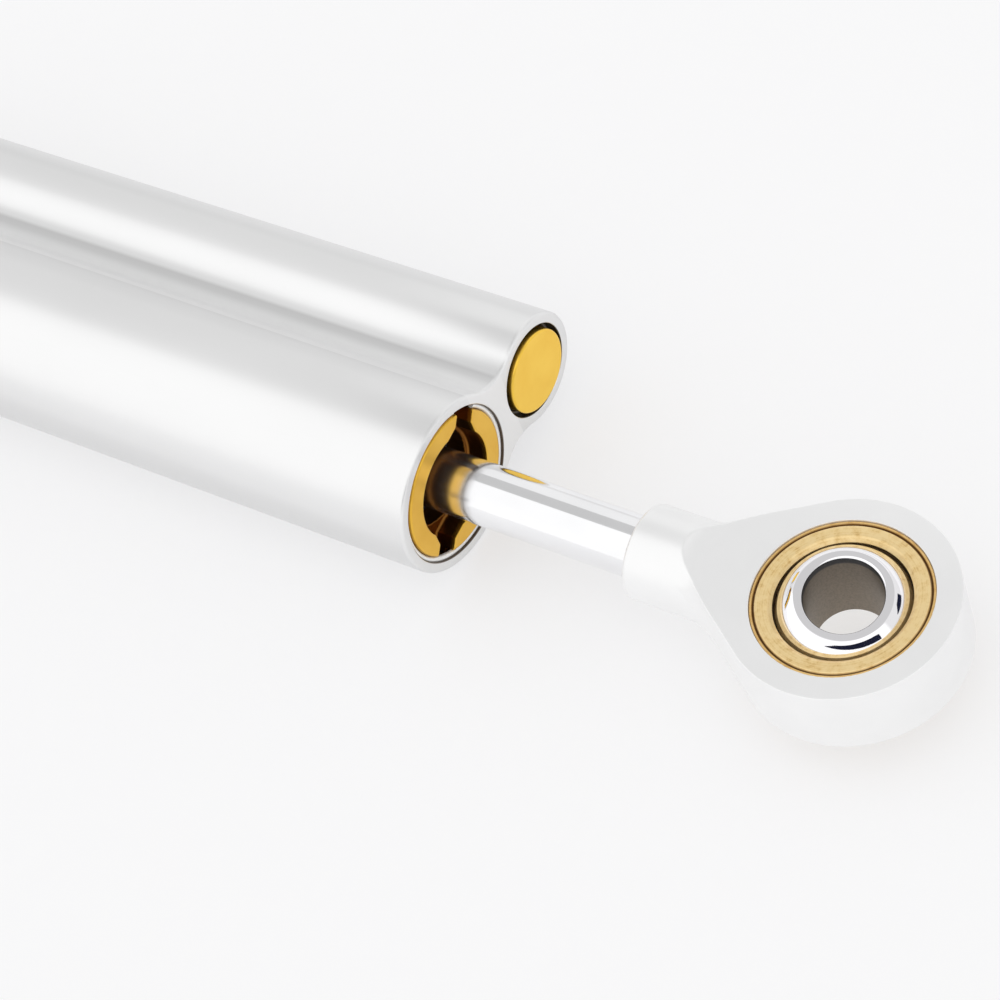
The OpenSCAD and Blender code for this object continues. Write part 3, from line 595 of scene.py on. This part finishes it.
# Two-tone grained finishes of the small and inner pieces
plainFinishes = {
    "clipSteel": {"light": (0.95, 0.95, 0.94), "dark": (0.88, 0.88, 0.87), "grainSize": (2600, 2600, 2600),
                  "smooth": 0.30, "rough": 0.40, "metal": 0.35, "bump": 0.1},
    "turnedSteel": {"light": (0.66, 0.66, 0.68), "dark": (0.54, 0.54, 0.56), "grainSize": (3000, 1200, 1200),
                    "smooth": 0.29, "rough": 0.36},
    "springSteel": {"light": (0.20, 0.19, 0.18), "dark": (0.12, 0.115, 0.11), "grainSize": (2200, 2200, 2200),
                    "smooth": 0.35, "rough": 0.50},
    "bushBronze": {"light": (0.66, 0.43, 0.21), "dark": (0.52, 0.31, 0.13), "grainSize": (1800, 1800, 1800),
                   "smooth": 0.30, "rough": 0.45},
    "linerWeave": {"light": (0.16, 0.11, 0.06), "dark": (0.07, 0.045, 0.025), "grainSize": (2600, 2600, 5200),
                   "smooth": 0.40, "rough": 0.65, "metal": 0.45, "bump": 0.4},
    "blackRubber": {"light": (0.028, 0.028, 0.028), "dark": (0.014, 0.014, 0.014),
                    "grainSize": (3500, 3500, 3500), "smooth": 0.45, "rough": 0.65,
                    "metal": 0.0, "bump": 0.3},
}


def makePlain(name, light, dark, grainSize, smooth, rough, metal=1.0, bump=0.15, bumpDepth=0.02):
    finish, tree, shader = newFinish(name)
    fine = grain(tree, grainSize, 4)
    tone = twoTone(tree, fine, dark, light, 0.32, 0.68)
    dress(tree, shader, tone, spread(tree, fine, smooth, rough), metal)
    bumped(tree, shader, fine, bump, bumpDepth)
    return finish


satin = makeSatinTube()
alloy = makeMachinedEye()
gold = makeGold("goldAnodised", 0, goldFinish["plain"])
# the seal head gets the darker, painted-shade copy of the gold
headGold = makeGold("headGold", 0, goldFinish["head"], recessed=True)
plugGold = makeGold("plugGold", sideY, goldFinish["plain"])
chrome = makeChrome()
ballSteel = makeBallSteel()
brass = makeBrass()
plain = {name: makePlain(name, **look) for name, look in plainFinishes.items()}
print("finishes made:", len(bpy.data.materials))

# Twin-tube body: one drawn outline, with the two bores and their mouths
bodyTubes = {
    "mainRadius": 11.75, "sideRadius": 7.75, "webRadius": 6.0, "endRound": 0.42,
    "groove": 0.42, "grooveDepth": 0.22,
    "mainBore": {"mouth": 10.3, "bore": 10.0, "frontDepth": 12.0, "rearDepth": 7.0,
                 "clip": 1.05, "edge": 0.18},
    "sideBore": {"mouth": 6.3, "bore": 6.0, "frontDepth": 7.0, "rearDepth": 7.0,
                 "clip": 1.9, "edge": 0.05},
}


def tubeOutline(inset):
    size = bodyTubes
    big, small, web = size["mainRadius"], size["sideRadius"], size["webRadius"]
    toMain, toSide = big + web, small + web
    webY = (sideY ** 2 + toMain ** 2 - toSide ** 2) / (2 * sideY)
    webZ = math.sqrt(toMain ** 2 - webY ** 2)
    onMain = math.atan2(webZ, webY)
    onSide = math.atan2(webZ, webY - sideY)
    arcs = [
        (0, 0, big - inset, onMain, 2 * math.pi - onMain, 150),
        (webY, -webZ, web + inset, math.pi - onMain, math.pi - onSide, 34),
        (sideY, 0, small - inset, -onSide, onSide, 110),
        (webY, webZ, web + inset, onSide - math.pi, onMain - math.pi, 34),
    ]
    line = []
    for cy, cz, radius, start, end, count in arcs:
        for k in range(count):
            angle = start + (end - start) * k / count
            line.append((cy + radius * math.cos(angle), cz + radius * math.sin(angle)))
    return line


def boreLine(mouth, bore, frontDepth, rearDepth, clip, edge):
    groove, wide = bodyTubes["groove"], mouth + bodyTubes["grooveDepth"]

    def fromMouth(depth):
        return [(0, mouth + edge), (edge, mouth), (clip - groove, mouth), (clip - groove, wide),
                (clip + groove, wide), (clip + groove, mouth), (depth, mouth), (depth, bore)]

    front = [(frontX - d, r) for d, r in fromMouth(frontDepth)]
    rear = [(rearX + d, r) for d, r in fromMouth(rearDepth)]
    return front + rear[::-1]


def makeBodyTubes(roundSteps=5):
    size = bodyTubes
    work = bmesh.new()

    def loop(x, line):
        return [work.verts.new((x, y, z)) for y, z in line]

    def skin(first, second):
        count = len(first)
        for k in range(count):
            n = (k + 1) % count
            work.faces.new((first[k], first[n], second[n], second[k]))

    bend = [math.pi / 2 * k / roundSteps for k in range(roundSteps + 1)]
    away = [(size["endRound"] * (1 - math.sin(t)), size["endRound"] * (1 - math.cos(t))) for t in bend]
    stations = [(frontX - back, inset) for back, inset in away[::-1]]
    stations += [(rearX + back, inset) for back, inset in away]
    outer = [loop(x, tubeOutline(inset)) for x, inset in stations]
    for first, second in zip(outer, outer[1:]):
        skin(first, second)
    ends = [[outer[0]], [outer[-1]]]
    bores = [(0, 160, boreLine(**size["mainBore"])), (sideY, 120, boreLine(**size["sideBore"]))]
    for centreY, turns, line in bores:
        around = [2 * math.pi * k / turns for k in range(turns)]
        rings = [loop(x, [(centreY + r * math.cos(t), r * math.sin(t)) for t in around]) for x, r in line]
        for first, second in zip(rings, rings[1:]):
            skin(first, second)
        ends[0].append(rings[0])
        ends[1].append(rings[-1])
    work.edges.ensure_lookup_table()
    for loops in ends:
        rim = []
        for ring in loops:
            rim += [work.edges.get((a, b)) for a, b in zip(ring, ring[1:] + ring[:1])]
        bmesh.ops.triangle_fill(work, use_beauty=True, use_dissolve=False, edges=rim)
    work.verts.index_update()
    points = [v.co.copy() for v in work.verts]
    faces = [[v.index for v in f.verts] for f in work.faces]
    work.free()
    return addPiece("bodyTubes", points, faces)


fit(makeBodyTubes(), "housing", satin, "clear_anodised", "twin_tube_body")
print("body done")

# Seal head: a stepped gold ring with two spanner slots that flare at their inner ends
sealHead = {
    "face": 0.2, "boss": 9.65, "flange": 10.28, "flangeFrom": 1.48, "flangeTo": 11.97,
    "tail": 9.98, "length": 20.0,
    "recess": 6.9, "slotFloor": 3.2, "pocket": 6.3, "pocketTo": 8.2, "rodHole": 4.3, "sealFrom": 9.4,
    "slotWidth": 3.4, "slotAngle": 51.0, "flareFrom": 7.75, "flareLength": 1.6, "flare": 0.85,
    "flareScale": 0.8,  # keeps the slanted sides close to a true distance
    "edge": 0.14, "faceEdge": 0.3, "floorRound": 0.4, "ringAt": 16.0, "ringHalf": 1.05, "ringFloor": 8.5,
    "margin": 0.4, "grid": 0.2, "slotSpot": 0.05, "slotGrid": (0.05, 0.25),
    "deepGrid": 0.3, "faceSpot": 0.12, "faceGrid": (0.06, 0.3),
}


def sealHeadDistance(x, y, d):
    size = sealHead
    r = np.hypot(x, y)
    boss = np.maximum(meet(r - size["boss"], size["face"] - d, size["faceEdge"]), d - size["length"])
    flange = np.maximum(np.maximum(r - size["flange"], size["flangeFrom"] - d), d - size["flangeTo"])
    tail = np.maximum(np.maximum(r - size["tail"], size["flangeFrom"] - d), d - size["length"])
    body = np.minimum(np.minimum(boss, flange), tail)
    ringGroove = np.maximum(np.abs(d - size["ringAt"]) - size["ringHalf"], size["ringFloor"] - r)
    flared = np.clip(size["flareFrom"] - np.abs(y), 0, size["flareLength"])
    halfWidth = size["slotWidth"] / 2 + size["flare"] * flared
    fromSide = (np.abs(x) - halfWidth) * size["flareScale"]
    slot = meet(fromSide, d - size["slotFloor"], size["floorRound"])
    recess = meet(r - size["recess"], d - size["slotFloor"], size["floorRound"])
    mouth = np.minimum(recess, slot)
    pocket = np.maximum(r - size["pocket"], d - size["pocketTo"])
    hole = r - size["rodHole"]
    seat = np.maximum(r - size["pocket"], size["sealFrom"] - d)
    inner = np.minimum(np.minimum(pocket, hole), np.minimum(seat, ringGroove))
    return np.maximum(meet(body, -mouth, size["edge"]), -inner)


def makeSealHead():
    size = sealHead
    # local Y runs along the slots
    alongSlots = mainFront @ Matrix.Rotation(math.radians(-size["slotAngle"]), 4, "Z")
    reach = size["flange"] + size["margin"]
    slotSide = size["slotWidth"] / 2 + size["slotSpot"]
    across = gridLine(-reach, reach, size["grid"], (slotSide, -slotSide), *size["slotGrid"])
    along = gridLine(-reach, reach, size["grid"])
    deep = gridLine(size["face"] - size["margin"], size["length"] + size["margin"], size["deepGrid"],
                    (size["face"] + size["faceSpot"],), *size["faceGrid"])
    return carve("sealHead", sealHeadDistance, (across, along, deep), alongSlots)


fit(makeSealHead(), "housing", headGold, "gold_anodised", "seal_head")

sealClip = {"wire": 0.8, "radius": 10.1, "opening": 24, "turn": 50, "depth": 0.8}
frontClip = snapRing("sealHeadClip", sealClip, mainFront)
fit(frontClip, "housing", plain["clipSteel"], "polished_steel", "seal_head_clip")

wiperLip = {
    "rodGap": 4.05, "tip": 4.45, "tipRound": 0.1, "foot": 5.35, "footRound": 0.3,
    "body": 6.28, "bodyRound": 0.12,
    "front": 5.0, "bodyFrom": 5.9, "back": 8.17,
}
wiperLine = rounded([
    (wiperLip["front"], wiperLip["rodGap"], 0), (wiperLip["front"], wiperLip["tip"], wiperLip["tipRound"]),
    (wiperLip["bodyFrom"], wiperLip["foot"], wiperLip["footRound"]),
    (wiperLip["bodyFrom"], wiperLip["body"], wiperLip["bodyRound"]),
    (wiperLip["back"], wiperLip["body"], 0), (wiperLip["back"], wiperLip["rodGap"], 0),
])
fit(lathe("wiperLip", wiperLine, mainFront, 128), "housing", plain["blackRubber"], "rubber", "wiper_seal")

# Plugs of the reservoir tube, each with a snap ring in the gap around it
plugCap = {
    "proud": 0.45, "boss": 5.6, "edge": 0.28, "flangeFrom": 2.33, "flange": 6.28,
    "flangeTo": 6.97, "flangeEdge": 0.1,
    "tail": 5.98, "tailEdge": 0.2, "length": 12.0, "ringAt": 9.5, "ringHalf": 1.05, "ringFloor": 4.5,
}
plugClip = {"wire": 0.8, "radius": 6.1, "opening": 24, "turn": 60, "depth": 1.9}


def plugLine():
    size = plugCap
    edge = size["flangeEdge"]
    ringFrom, ringTo = size["ringAt"] - size["ringHalf"], size["ringAt"] + size["ringHalf"]
    return rounded([
        (-size["proud"], 0, 0), (-size["proud"], size["boss"], size["edge"]),
        (size["flangeFrom"], size["boss"], edge), (size["flangeFrom"], size["flange"], edge),
        (size["flangeTo"], size["flange"], edge), (size["flangeTo"], size["tail"], 0),
        (ringFrom, size["tail"], 0), (ringFrom, size["ringFloor"], 0),
        (ringTo, size["ringFloor"], 0), (ringTo, size["tail"], 0),
        (size["length"], size["tail"], size["tailEdge"]), (size["length"], 0, 0),
    ])


for pieceName, place, node in [("plugCap", sideFront, "reservoir_plug"),
                               ("rearPlugCap", sideRear, "rear_plug")]:
    fit(lathe(pieceName, plugLine(), place), "housing", plugGold, "gold_anodised", node)
    clip = snapRing(pieceName + "Clip", plugClip, place)
    fit(clip, "housing", plain["springSteel"], "spring_steel", node + "_clip")
print("seal head and plugs done")

# Spring between the front plug and the sliding separator
balanceSpring = {
    "radius": 4.95, "wire": 1.1, "turn": 0, "depth": 12.6, "length": 36.8, "coils": 9,
    "stepsEach": 48, "sides": 12,
}
coils = balanceSpring["coils"]
springCoil = wireRing("balanceSpring", balanceSpring, sideFront, 360 * coils, balanceSpring["length"],
                      balanceSpring["stepsEach"] * coils, balanceSpring["sides"])
springCoil.data.materials.append(plain["springSteel"])
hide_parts("compensator_spring")
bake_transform(springCoil)
print("balance spring done")

# Chrome rod, from its thread in the shank to the tail that holds the piston
rodLow, rodHigh = edgesOf("piston_rod")
chromeRod = {"radius": 4.0, "tail": 3.0, "seatAt": 31.07, "shoulder": 75.3, "edge": 0.2, "tipRound": 0.5}


def rodLine():
    size = chromeRod
    tip, end = frontX - rodHigh.x, frontX - rodLow.x
    return rounded([
        (tip, 0, 0), (tip, size["tail"], size["tipRound"]), (-size["seatAt"], size["tail"], 0),
        (-size["seatAt"], size["radius"], size["edge"]), (size["shoulder"], size["radius"], size["edge"]),
        (size["shoulder"], size["tail"], 0), (end, size["tail"], size["tipRound"]), (end, 0, 0),
    ])


fit(lathe("chromeRod", rodLine(), mainFront, 224), "rod", chrome, "hard_chrome", "piston_rod")

# Rod end: a round shank that runs out into a flat teardrop eye
rodEnd = {
    "eye": 14.1, "half": 5.0, "flank": 34.5, "shank": 6.1, "reach": 27.8, "shankTo": 9.0,
    "rim": 0.6, "neckRound": 8.0,
    "scoop": 4.0, "scoopFrom": 18.1, "nose": 0.04, "flareLead": 2.4, "flareRound": 6.0,
    "sideRound": 1.2, "edge": 0.1,
    "seat": 11.02, "seatEdge": 0.06,
    "rodSeat": 4.02, "rodSeatDepth": 3.0, "rodSeatEdge": 0.12, "thread": 3.02, "threadDepth": 14.0,
    "gridX": (-28.4, 14.6), "gridY": (-14.6, 14.6), "gridZ": (-6.6, 6.6), "grid": 0.25,
    "flatSpot": 0.05, "flatGrid": (0.04, 0.2),
}


def rodEndDistance(x, y, z):
    size = rodEnd
    lean = math.radians(size["flank"])
    side = np.abs(y)
    out = np.hypot(y, z)
    height = np.abs(z)
    # plan of the eye: a circle, two straight flanks, and a round into the shank
    onFlank = x * -math.cos(lean) - side * math.sin(lean) > 0
    plan = np.where(onFlank, side * math.cos(lean) - x * math.sin(lean), np.hypot(x, y)) - size["eye"]
    apex = -size["eye"] / math.sin(lean)
    corner = apex + size["shank"] / math.tan(lean)
    neckX = corner - size["neckRound"] * math.tan(lean / 2)
    neckY = size["shank"] + size["neckRound"]
    around = np.arctan2(x - neckX, neckY - side)
    neck = size["neckRound"] - np.hypot(x - neckX, side - neckY)
    plan = np.where((around > 0) & (around < lean) & (side < neckY), neck, plan)
    plan = np.where(x < neckX, side - size["shank"], plan)
    # the turned run-out that the flats are milled into
    flareX = -size["scoopFrom"] - size["flareLead"]
    rise = np.minimum(out - size["shank"] - size["flareRound"], 0)
    flare = size["flareRound"] - np.hypot(np.maximum(x - flareX, 0), rise)
    eye = meet(plan, flare, size["sideRound"])
    shank = meet(out - size["shank"], -size["reach"] - x, size["rim"])
    shank = np.maximum(shank, x + size["shankTo"])
    solid = np.minimum(np.maximum(eye, flareX - x), shank)
    # each flat ends in the round of the cutter
    flat = height - size["half"]
    centre = size["half"] + size["scoop"]
    behind = np.minimum(x + size["scoopFrom"] - size["nose"] * y ** 2, 0)
    flat = np.where(behind < 0, size["scoop"] - np.hypot(behind, np.minimum(height - centre, 0)), flat)
    solid = meet(solid, flat, size["edge"])
    seat = np.hypot(x, y) - size["seat"]
    solid = meet(solid, -seat, size["seatEdge"])
    fromRim = x + size["reach"]
    hole = np.maximum(out - size["rodSeat"], fromRim - size["rodSeatDepth"])
    thread = np.maximum(out - size["thread"], fromRim - size["threadDepth"])
    return np.maximum(meet(solid, -hole, size["rodSeatEdge"]), -thread)


flatEdge = rodEnd["half"] - rodEnd["flatSpot"]
eyeLines = (gridLine(*rodEnd["gridX"], rodEnd["grid"]), gridLine(*rodEnd["gridY"], rodEnd["grid"]),
            gridLine(*rodEnd["gridZ"], rodEnd["grid"], (flatEdge, -flatEdge), *rodEnd["flatGrid"]))
fit(carve("rodEndEye", rodEndDistance, eyeLines), "rod", alloy, "machined_alloy", "rod_end")
print("rod and rod end done")

# Spherical bearing: brass ring, woven liner and polished ball
brassRing = {
    "outer": 10.98, "half": 4.8, "edge": 0.14, "lip": 10.72, "groove": 10.52,
    "grooveDepth": 0.34, "grooveRound": 0.06,
    "face": 10.3, "faceRound": 0.12, "coneTop": 8.9, "coneRound": 0.3, "coneFoot": 8.34, "coneDepth": 0.55,
    "seat": 9.35, "seatSteps": 24,
}


def brassLine():
    size = brassRing
    half = size["half"]
    floor = half - size["coneDepth"]
    upper = rounded([
        (0, size["outer"], 0), (half, size["outer"], size["edge"]), (half, size["lip"], size["grooveRound"]),
        (half - size["grooveDepth"], size["groove"], size["grooveRound"]),
        (half, size["face"], size["faceRound"]),
        (half, size["coneTop"], size["coneRound"]), (floor, size["coneFoot"], 0), (0, 0, 0),
    ])[:-1]
    start = math.asin(floor / size["seat"])
    zone = ballZone(size["seat"], start, -start, size["seatSteps"])
    lower = [(-along, out) for along, out in upper[:0:-1]]
    return upper + zone + lower


fit(lathe("brassRing", brassLine(), atBearing, 224), "rod", brass, "bearing_brass", "bearing_race")

fabricLiner = {"inner": 9.05, "outer": 9.3, "half": 3.5, "flatTo": 8.45, "chamferAt": 3.42, "steps": 24}


def linerLine():
    size = fabricLiner
    line = []
    for radius, reach, way in [(size["outer"], size["chamferAt"], 1), (size["inner"], size["half"], -1)]:
        most = math.asin(reach / radius)
        line += ballZone(radius, way * most, -way * most, size["steps"])
        line.append((-way * size["half"], size["flatTo"]))
    return line


fit(lathe("fabricLiner", linerLine(), atBearing, 192), "liner", plain["linerWeave"], "liner", "bearing_liner")

steelBall = {
    "radius": 9.0, "half": 6.8, "bore": 4.8, "boreEdge": 0.1, "rimRound": 0.14, "steps": 48,
    "zoneEnd": 0.05, "rimBreak": (0.015, 0.02), "lean": 10, "way": -36,
    "boreBreak": [(0, 1), (0.25, 0.55), (0.6, 0.2), (1, 0)],  # shares of the bore's edge
}


def ballLine():
    size = steelBall
    half, bore, edge = size["half"], size["bore"], size["boreEdge"]
    most = math.asin((half - size["zoneEnd"]) / size["radius"])
    rim = math.sqrt(size["radius"] ** 2 - half ** 2)
    # the rim and the bore's edge are broken by a few short steps
    top = [(half - size["rimBreak"][0], rim - size["rimBreak"][1]), (half, rim - size["rimRound"])]
    top += [(half - down * edge, bore + out * edge) for down, out in size["boreBreak"]]
    zone = ballZone(size["radius"], -most, most, size["steps"])
    return zone + top + [(-along, out) for along, out in top[::-1]]


ball = lathe("steelBall", ballLine(), atBearing, 224)
ballWay, ballLean = math.radians(steelBall["way"]), math.radians(steelBall["lean"])
ball.matrix_world = Matrix.Rotation(ballWay, 4, "Z") @ Matrix.Rotation(ballLean, 4, "Y")
fit(ball, "ball", ballSteel, "polished_steel", "bearing_ball")
print("bearing done")

# Click knob behind the body
gripKnob = {
    "radius": 9.0, "near": -0.5, "far": -9.5, "edge": 0.8, "flutes": 20, "fluteRadius": 0.8, "fluteAt": 9.3,
    "stem": 1.62, "screwWell": 2.6, "wellFloor": -7.5, "clickRadius": 5.6, "clickAt": 0.15,
    "clickGroove": 1.15,
    "round": 0.18, "margin": 0.4, "grid": 0.2,
}


def gripKnobDistance(x, y, d):
    size = gripKnob
    r = np.hypot(x, y)
    bevel = size["radius"] - size["edge"]
    lean = math.sqrt(0.5)
    ends = np.maximum(d - size["near"], size["far"] - d)
    body = meet(r - size["radius"], ends, size["round"])
    body = meet(body, (r - bevel + ends) * lean, size["round"])
    step = 2 * math.pi / size["flutes"]
    turn = np.arctan2(y, x)
    turn = turn - step * np.round(turn / step)
    flute = np.hypot(r * np.cos(turn) - size["fluteAt"], r * np.sin(turn)) - size["fluteRadius"]
    body = meet(body, -flute, size["round"])
    well = np.maximum(r - size["screwWell"], d - size["wellFloor"])
    body = meet(body, -well, size["round"])
    groove = np.hypot(r - size["clickRadius"], d - size["clickAt"]) - size["clickGroove"]
    return np.maximum(np.maximum(body, size["stem"] - r), -groove)


knobReach = gripKnob["radius"] + gripKnob["margin"]
knobAcross = gridLine(-knobReach, knobReach, gripKnob["grid"])
knobBack, knobFront = gripKnob["far"] - gripKnob["margin"], gripKnob["near"] + gripKnob["margin"]
knobDeep = gridLine(knobBack, knobFront, gripKnob["grid"])
knob = carve("gripKnob", gripKnobDistance, (knobAcross, knobAcross, knobDeep), mainRear)
fit(knob, "adjuster", gold, "gold_anodised", "adjuster_knob")

rearClip = snapRing("rearHeadClip", sealClip, mainRear)
fit(rearClip, "housing", plain["clipSteel"], "polished_steel", "rear_head_clip")
print("knob done")

# The pieces that keep the shape they have in the frame
keptPieces = [
    (gold, ["rear_head"]),
    (satin, ["piston", "separator_piston"]),
    (plain["turnedSteel"], ["piston_nut", "adjuster_screw", "knob_screw", "adjuster_needle", "detent_ball"]),
    (plain["springSteel"], ["front_shim", "rear_shim", "detent_spring"]),
    (plain["bushBronze"], ["guide_bush", "piston_band"]),
    (brass, ["needle_seat"]),
    (plain["blackRubber"], ["seal_head_oring", "rod_seal", "reservoir_plug_oring", "rear_plug_oring",
                            "rear_head_orings", "band_energiser", "top_out_bumper", "needle_oring",
                            "separator_oring"]),
]
for finish, members in keptPieces:
    for member in members:
        nodes[member].data.materials.clear()
        nodes[member].data.materials.append(finish)
        for face in nodes[member].data.polygons:
            face.material_index = 0
print("inner pieces finished")

# Studio: pale floor, a white half of the room on the camera's side and a grey half behind
studio = {
    "floorZ": bodyLow.z, "floorSize": 6.0, "floorColour": (0.40, 0.40, 0.402), "fibre": (240, 240, 240),
    "fibreTone": 0.992, "floorRough": 0.75, "floorGlow": 0.53, "glowColour": (0.995, 0.993, 1.0, 1),
    "room": greys((0.06, 1.14), (0.14, 0.84)),
}


def makeFloor():
    half = studio["floorSize"] / 2
    mesh = bpy.data.meshes.new("floor")
    spots = [(-half, -half, 0), (half, -half, 0), (half, half, 0), (-half, half, 0)]
    mesh.from_pydata(spots, [], [(0, 1, 2, 3)])
    floor = bpy.data.objects.new("floor", mesh)
    floor.location.z = studio["floorZ"] * mm
    bpy.context.scene.collection.objects.link(floor)
    paper, tree, shader = newFinish("palePaper")
    light = studio["floorColour"]
    tone = twoTone(tree, grain(tree, studio["fibre"], 4), dimmed(light, studio["fibreTone"]), light)
    tree.links.new(tone, shader.inputs["Base Color"])
    setInputs(shader, Roughness=studio["floorRough"])
    setInputs(shader, **{"Emission Color": studio["glowColour"], "Emission Strength": studio["floorGlow"]})
    paper.cycles.emission_sampling = "NONE"
    floor.data.materials.append(paper)


def makeRoom():
    world = bpy.data.worlds.new("studioRoom")
    bpy.context.scene.world = world
    world.use_nodes = True
    tree = world.node_tree
    backdrop = setInputs(tree.nodes["Background"], Strength=1.0)
    tree.links.new(tint(tree, axesOf(tree, "Generated")["Y"], *studio["room"]), backdrop.inputs["Color"])


cardCloth = {"grainSize": (3, 3, 3), "smooth": 0.7, "rough": 0.9, "metal": 0.0, "bump": 0.05}


def addCard(name, points, faces, colour, glow):
    # a card that is seen only in shiny metal
    mesh = bpy.data.meshes.new(name)
    mesh.from_pydata(points, [], faces)
    card = bpy.data.objects.new(name, mesh)
    bpy.context.scene.collection.objects.link(card)
    cloth = makePlain(name, colour, colour, **cardCloth)
    shader = cloth.node_tree.nodes["Principled BSDF"]
    setInputs(shader, **{"Emission Color": (1, 1, 1, 1), "Emission Strength": glow})
    setInputs(shader, **{"Specular IOR Level": 0.0})
    cloth.cycles.emission_sampling = "NONE"
    mesh.materials.append(cloth)
    card.visible_camera = False
    card.visible_diffuse = False
    card.visible_shadow = False


# Dark edges of the room; low and high are heights in degrees, evenly spaced from one turn to the other
roomEdges = {
    "frontEdge": {"fromTurn": -95, "toTurn": -11, "low": (15.3, 14.2, 12.8, 10.9, 9.0, 6.5),
                  "high": (15.8, 20.4, 21.2, 21.8, 19.5, 15.2)},
    "sideEdge": {"fromTurn": 28, "toTurn": 54, "low": (4.8, 2.1, 0.2), "high": (5.6, 10.4, 7.5)},
}
roomWall = {"distance": 2.4, "colour": (0.012, 0.014, 0.032)}


def makeRoomEdge(name, fromTurn, toTurn, low, high, steps=24):
    far = roomWall["distance"]
    points, faces = [], []
    for k in range(steps + 1):
        turn = math.radians(fromTurn + (toTurn - fromTurn) * k / steps)
        for heights in (low, high):
            lift = np.interp(k / steps, np.linspace(0, 1, len(heights)), heights)
            points.append((far * math.cos(turn), far * math.sin(turn), far * math.tan(math.radians(lift))))
        if k:
            faces.append((2 * k - 2, 2 * k, 2 * k + 1, 2 * k - 1))
    addCard(name, points, faces, roomWall["colour"], 0.0)


# Two strips of the tent's roof over the rod and the eye, a grey one and a lighter one behind it
roofStrips = {
    "greyRoof": {"glow": 0.64,
                 "corners": [(-88.4, 3.7, 60), (20, 3.7, 60), (20, 47.4, 60), (-98.2, 47.4, 60)]},
    "lightRoof": {"glow": 0.95,
                  "corners": [(-98.2, 47.4, 60), (20, 47.4, 60), (20, 110, 25), (-120.6, 110, 25)]},
}

makeFloor()
makeRoom()
for edgeName, edge in roomEdges.items():
    makeRoomEdge(edgeName, **edge)
for roof, strip in roofStrips.items():
    corners = [[v * mm for v in corner] for corner in strip["corners"]]
    addCard(roof, corners, [(0, 1, 2, 3)], (0.0, 0.0, 0.0), strip["glow"])

viewPoint = {
    "lens": 122.12, "sensor": 36, "nearest": 0.01, "farthest": 50, "place": (155.463, -173.032, 323.146),
    "right": (0.82371, 0.50907, -0.24971), "down": (0.28898, -0.75580, -0.58759),
}


def makeCamera():
    lens = bpy.data.cameras.new("photoCamera")
    lens.lens = viewPoint["lens"]
    lens.sensor_width = viewPoint["sensor"]
    lens.clip_start = viewPoint["nearest"]
    lens.clip_end = viewPoint["farthest"]
    camera = bpy.data.objects.new("photoCamera", lens)
    right = Vector(viewPoint["right"]).normalized()
    up = -Vector(viewPoint["down"]).normalized()
    back = right.cross(up)
    turn = Matrix((right, up, back)).transposed().to_4x4()
    camera.matrix_world = Matrix.Translation(Vector(viewPoint["place"]) * mm) @ turn
    bpy.context.scene.collection.objects.link(camera)
    bpy.context.scene.camera = camera


makeCamera()
bpy.context.scene.view_settings.view_transform = "Standard"
print("studio ready")
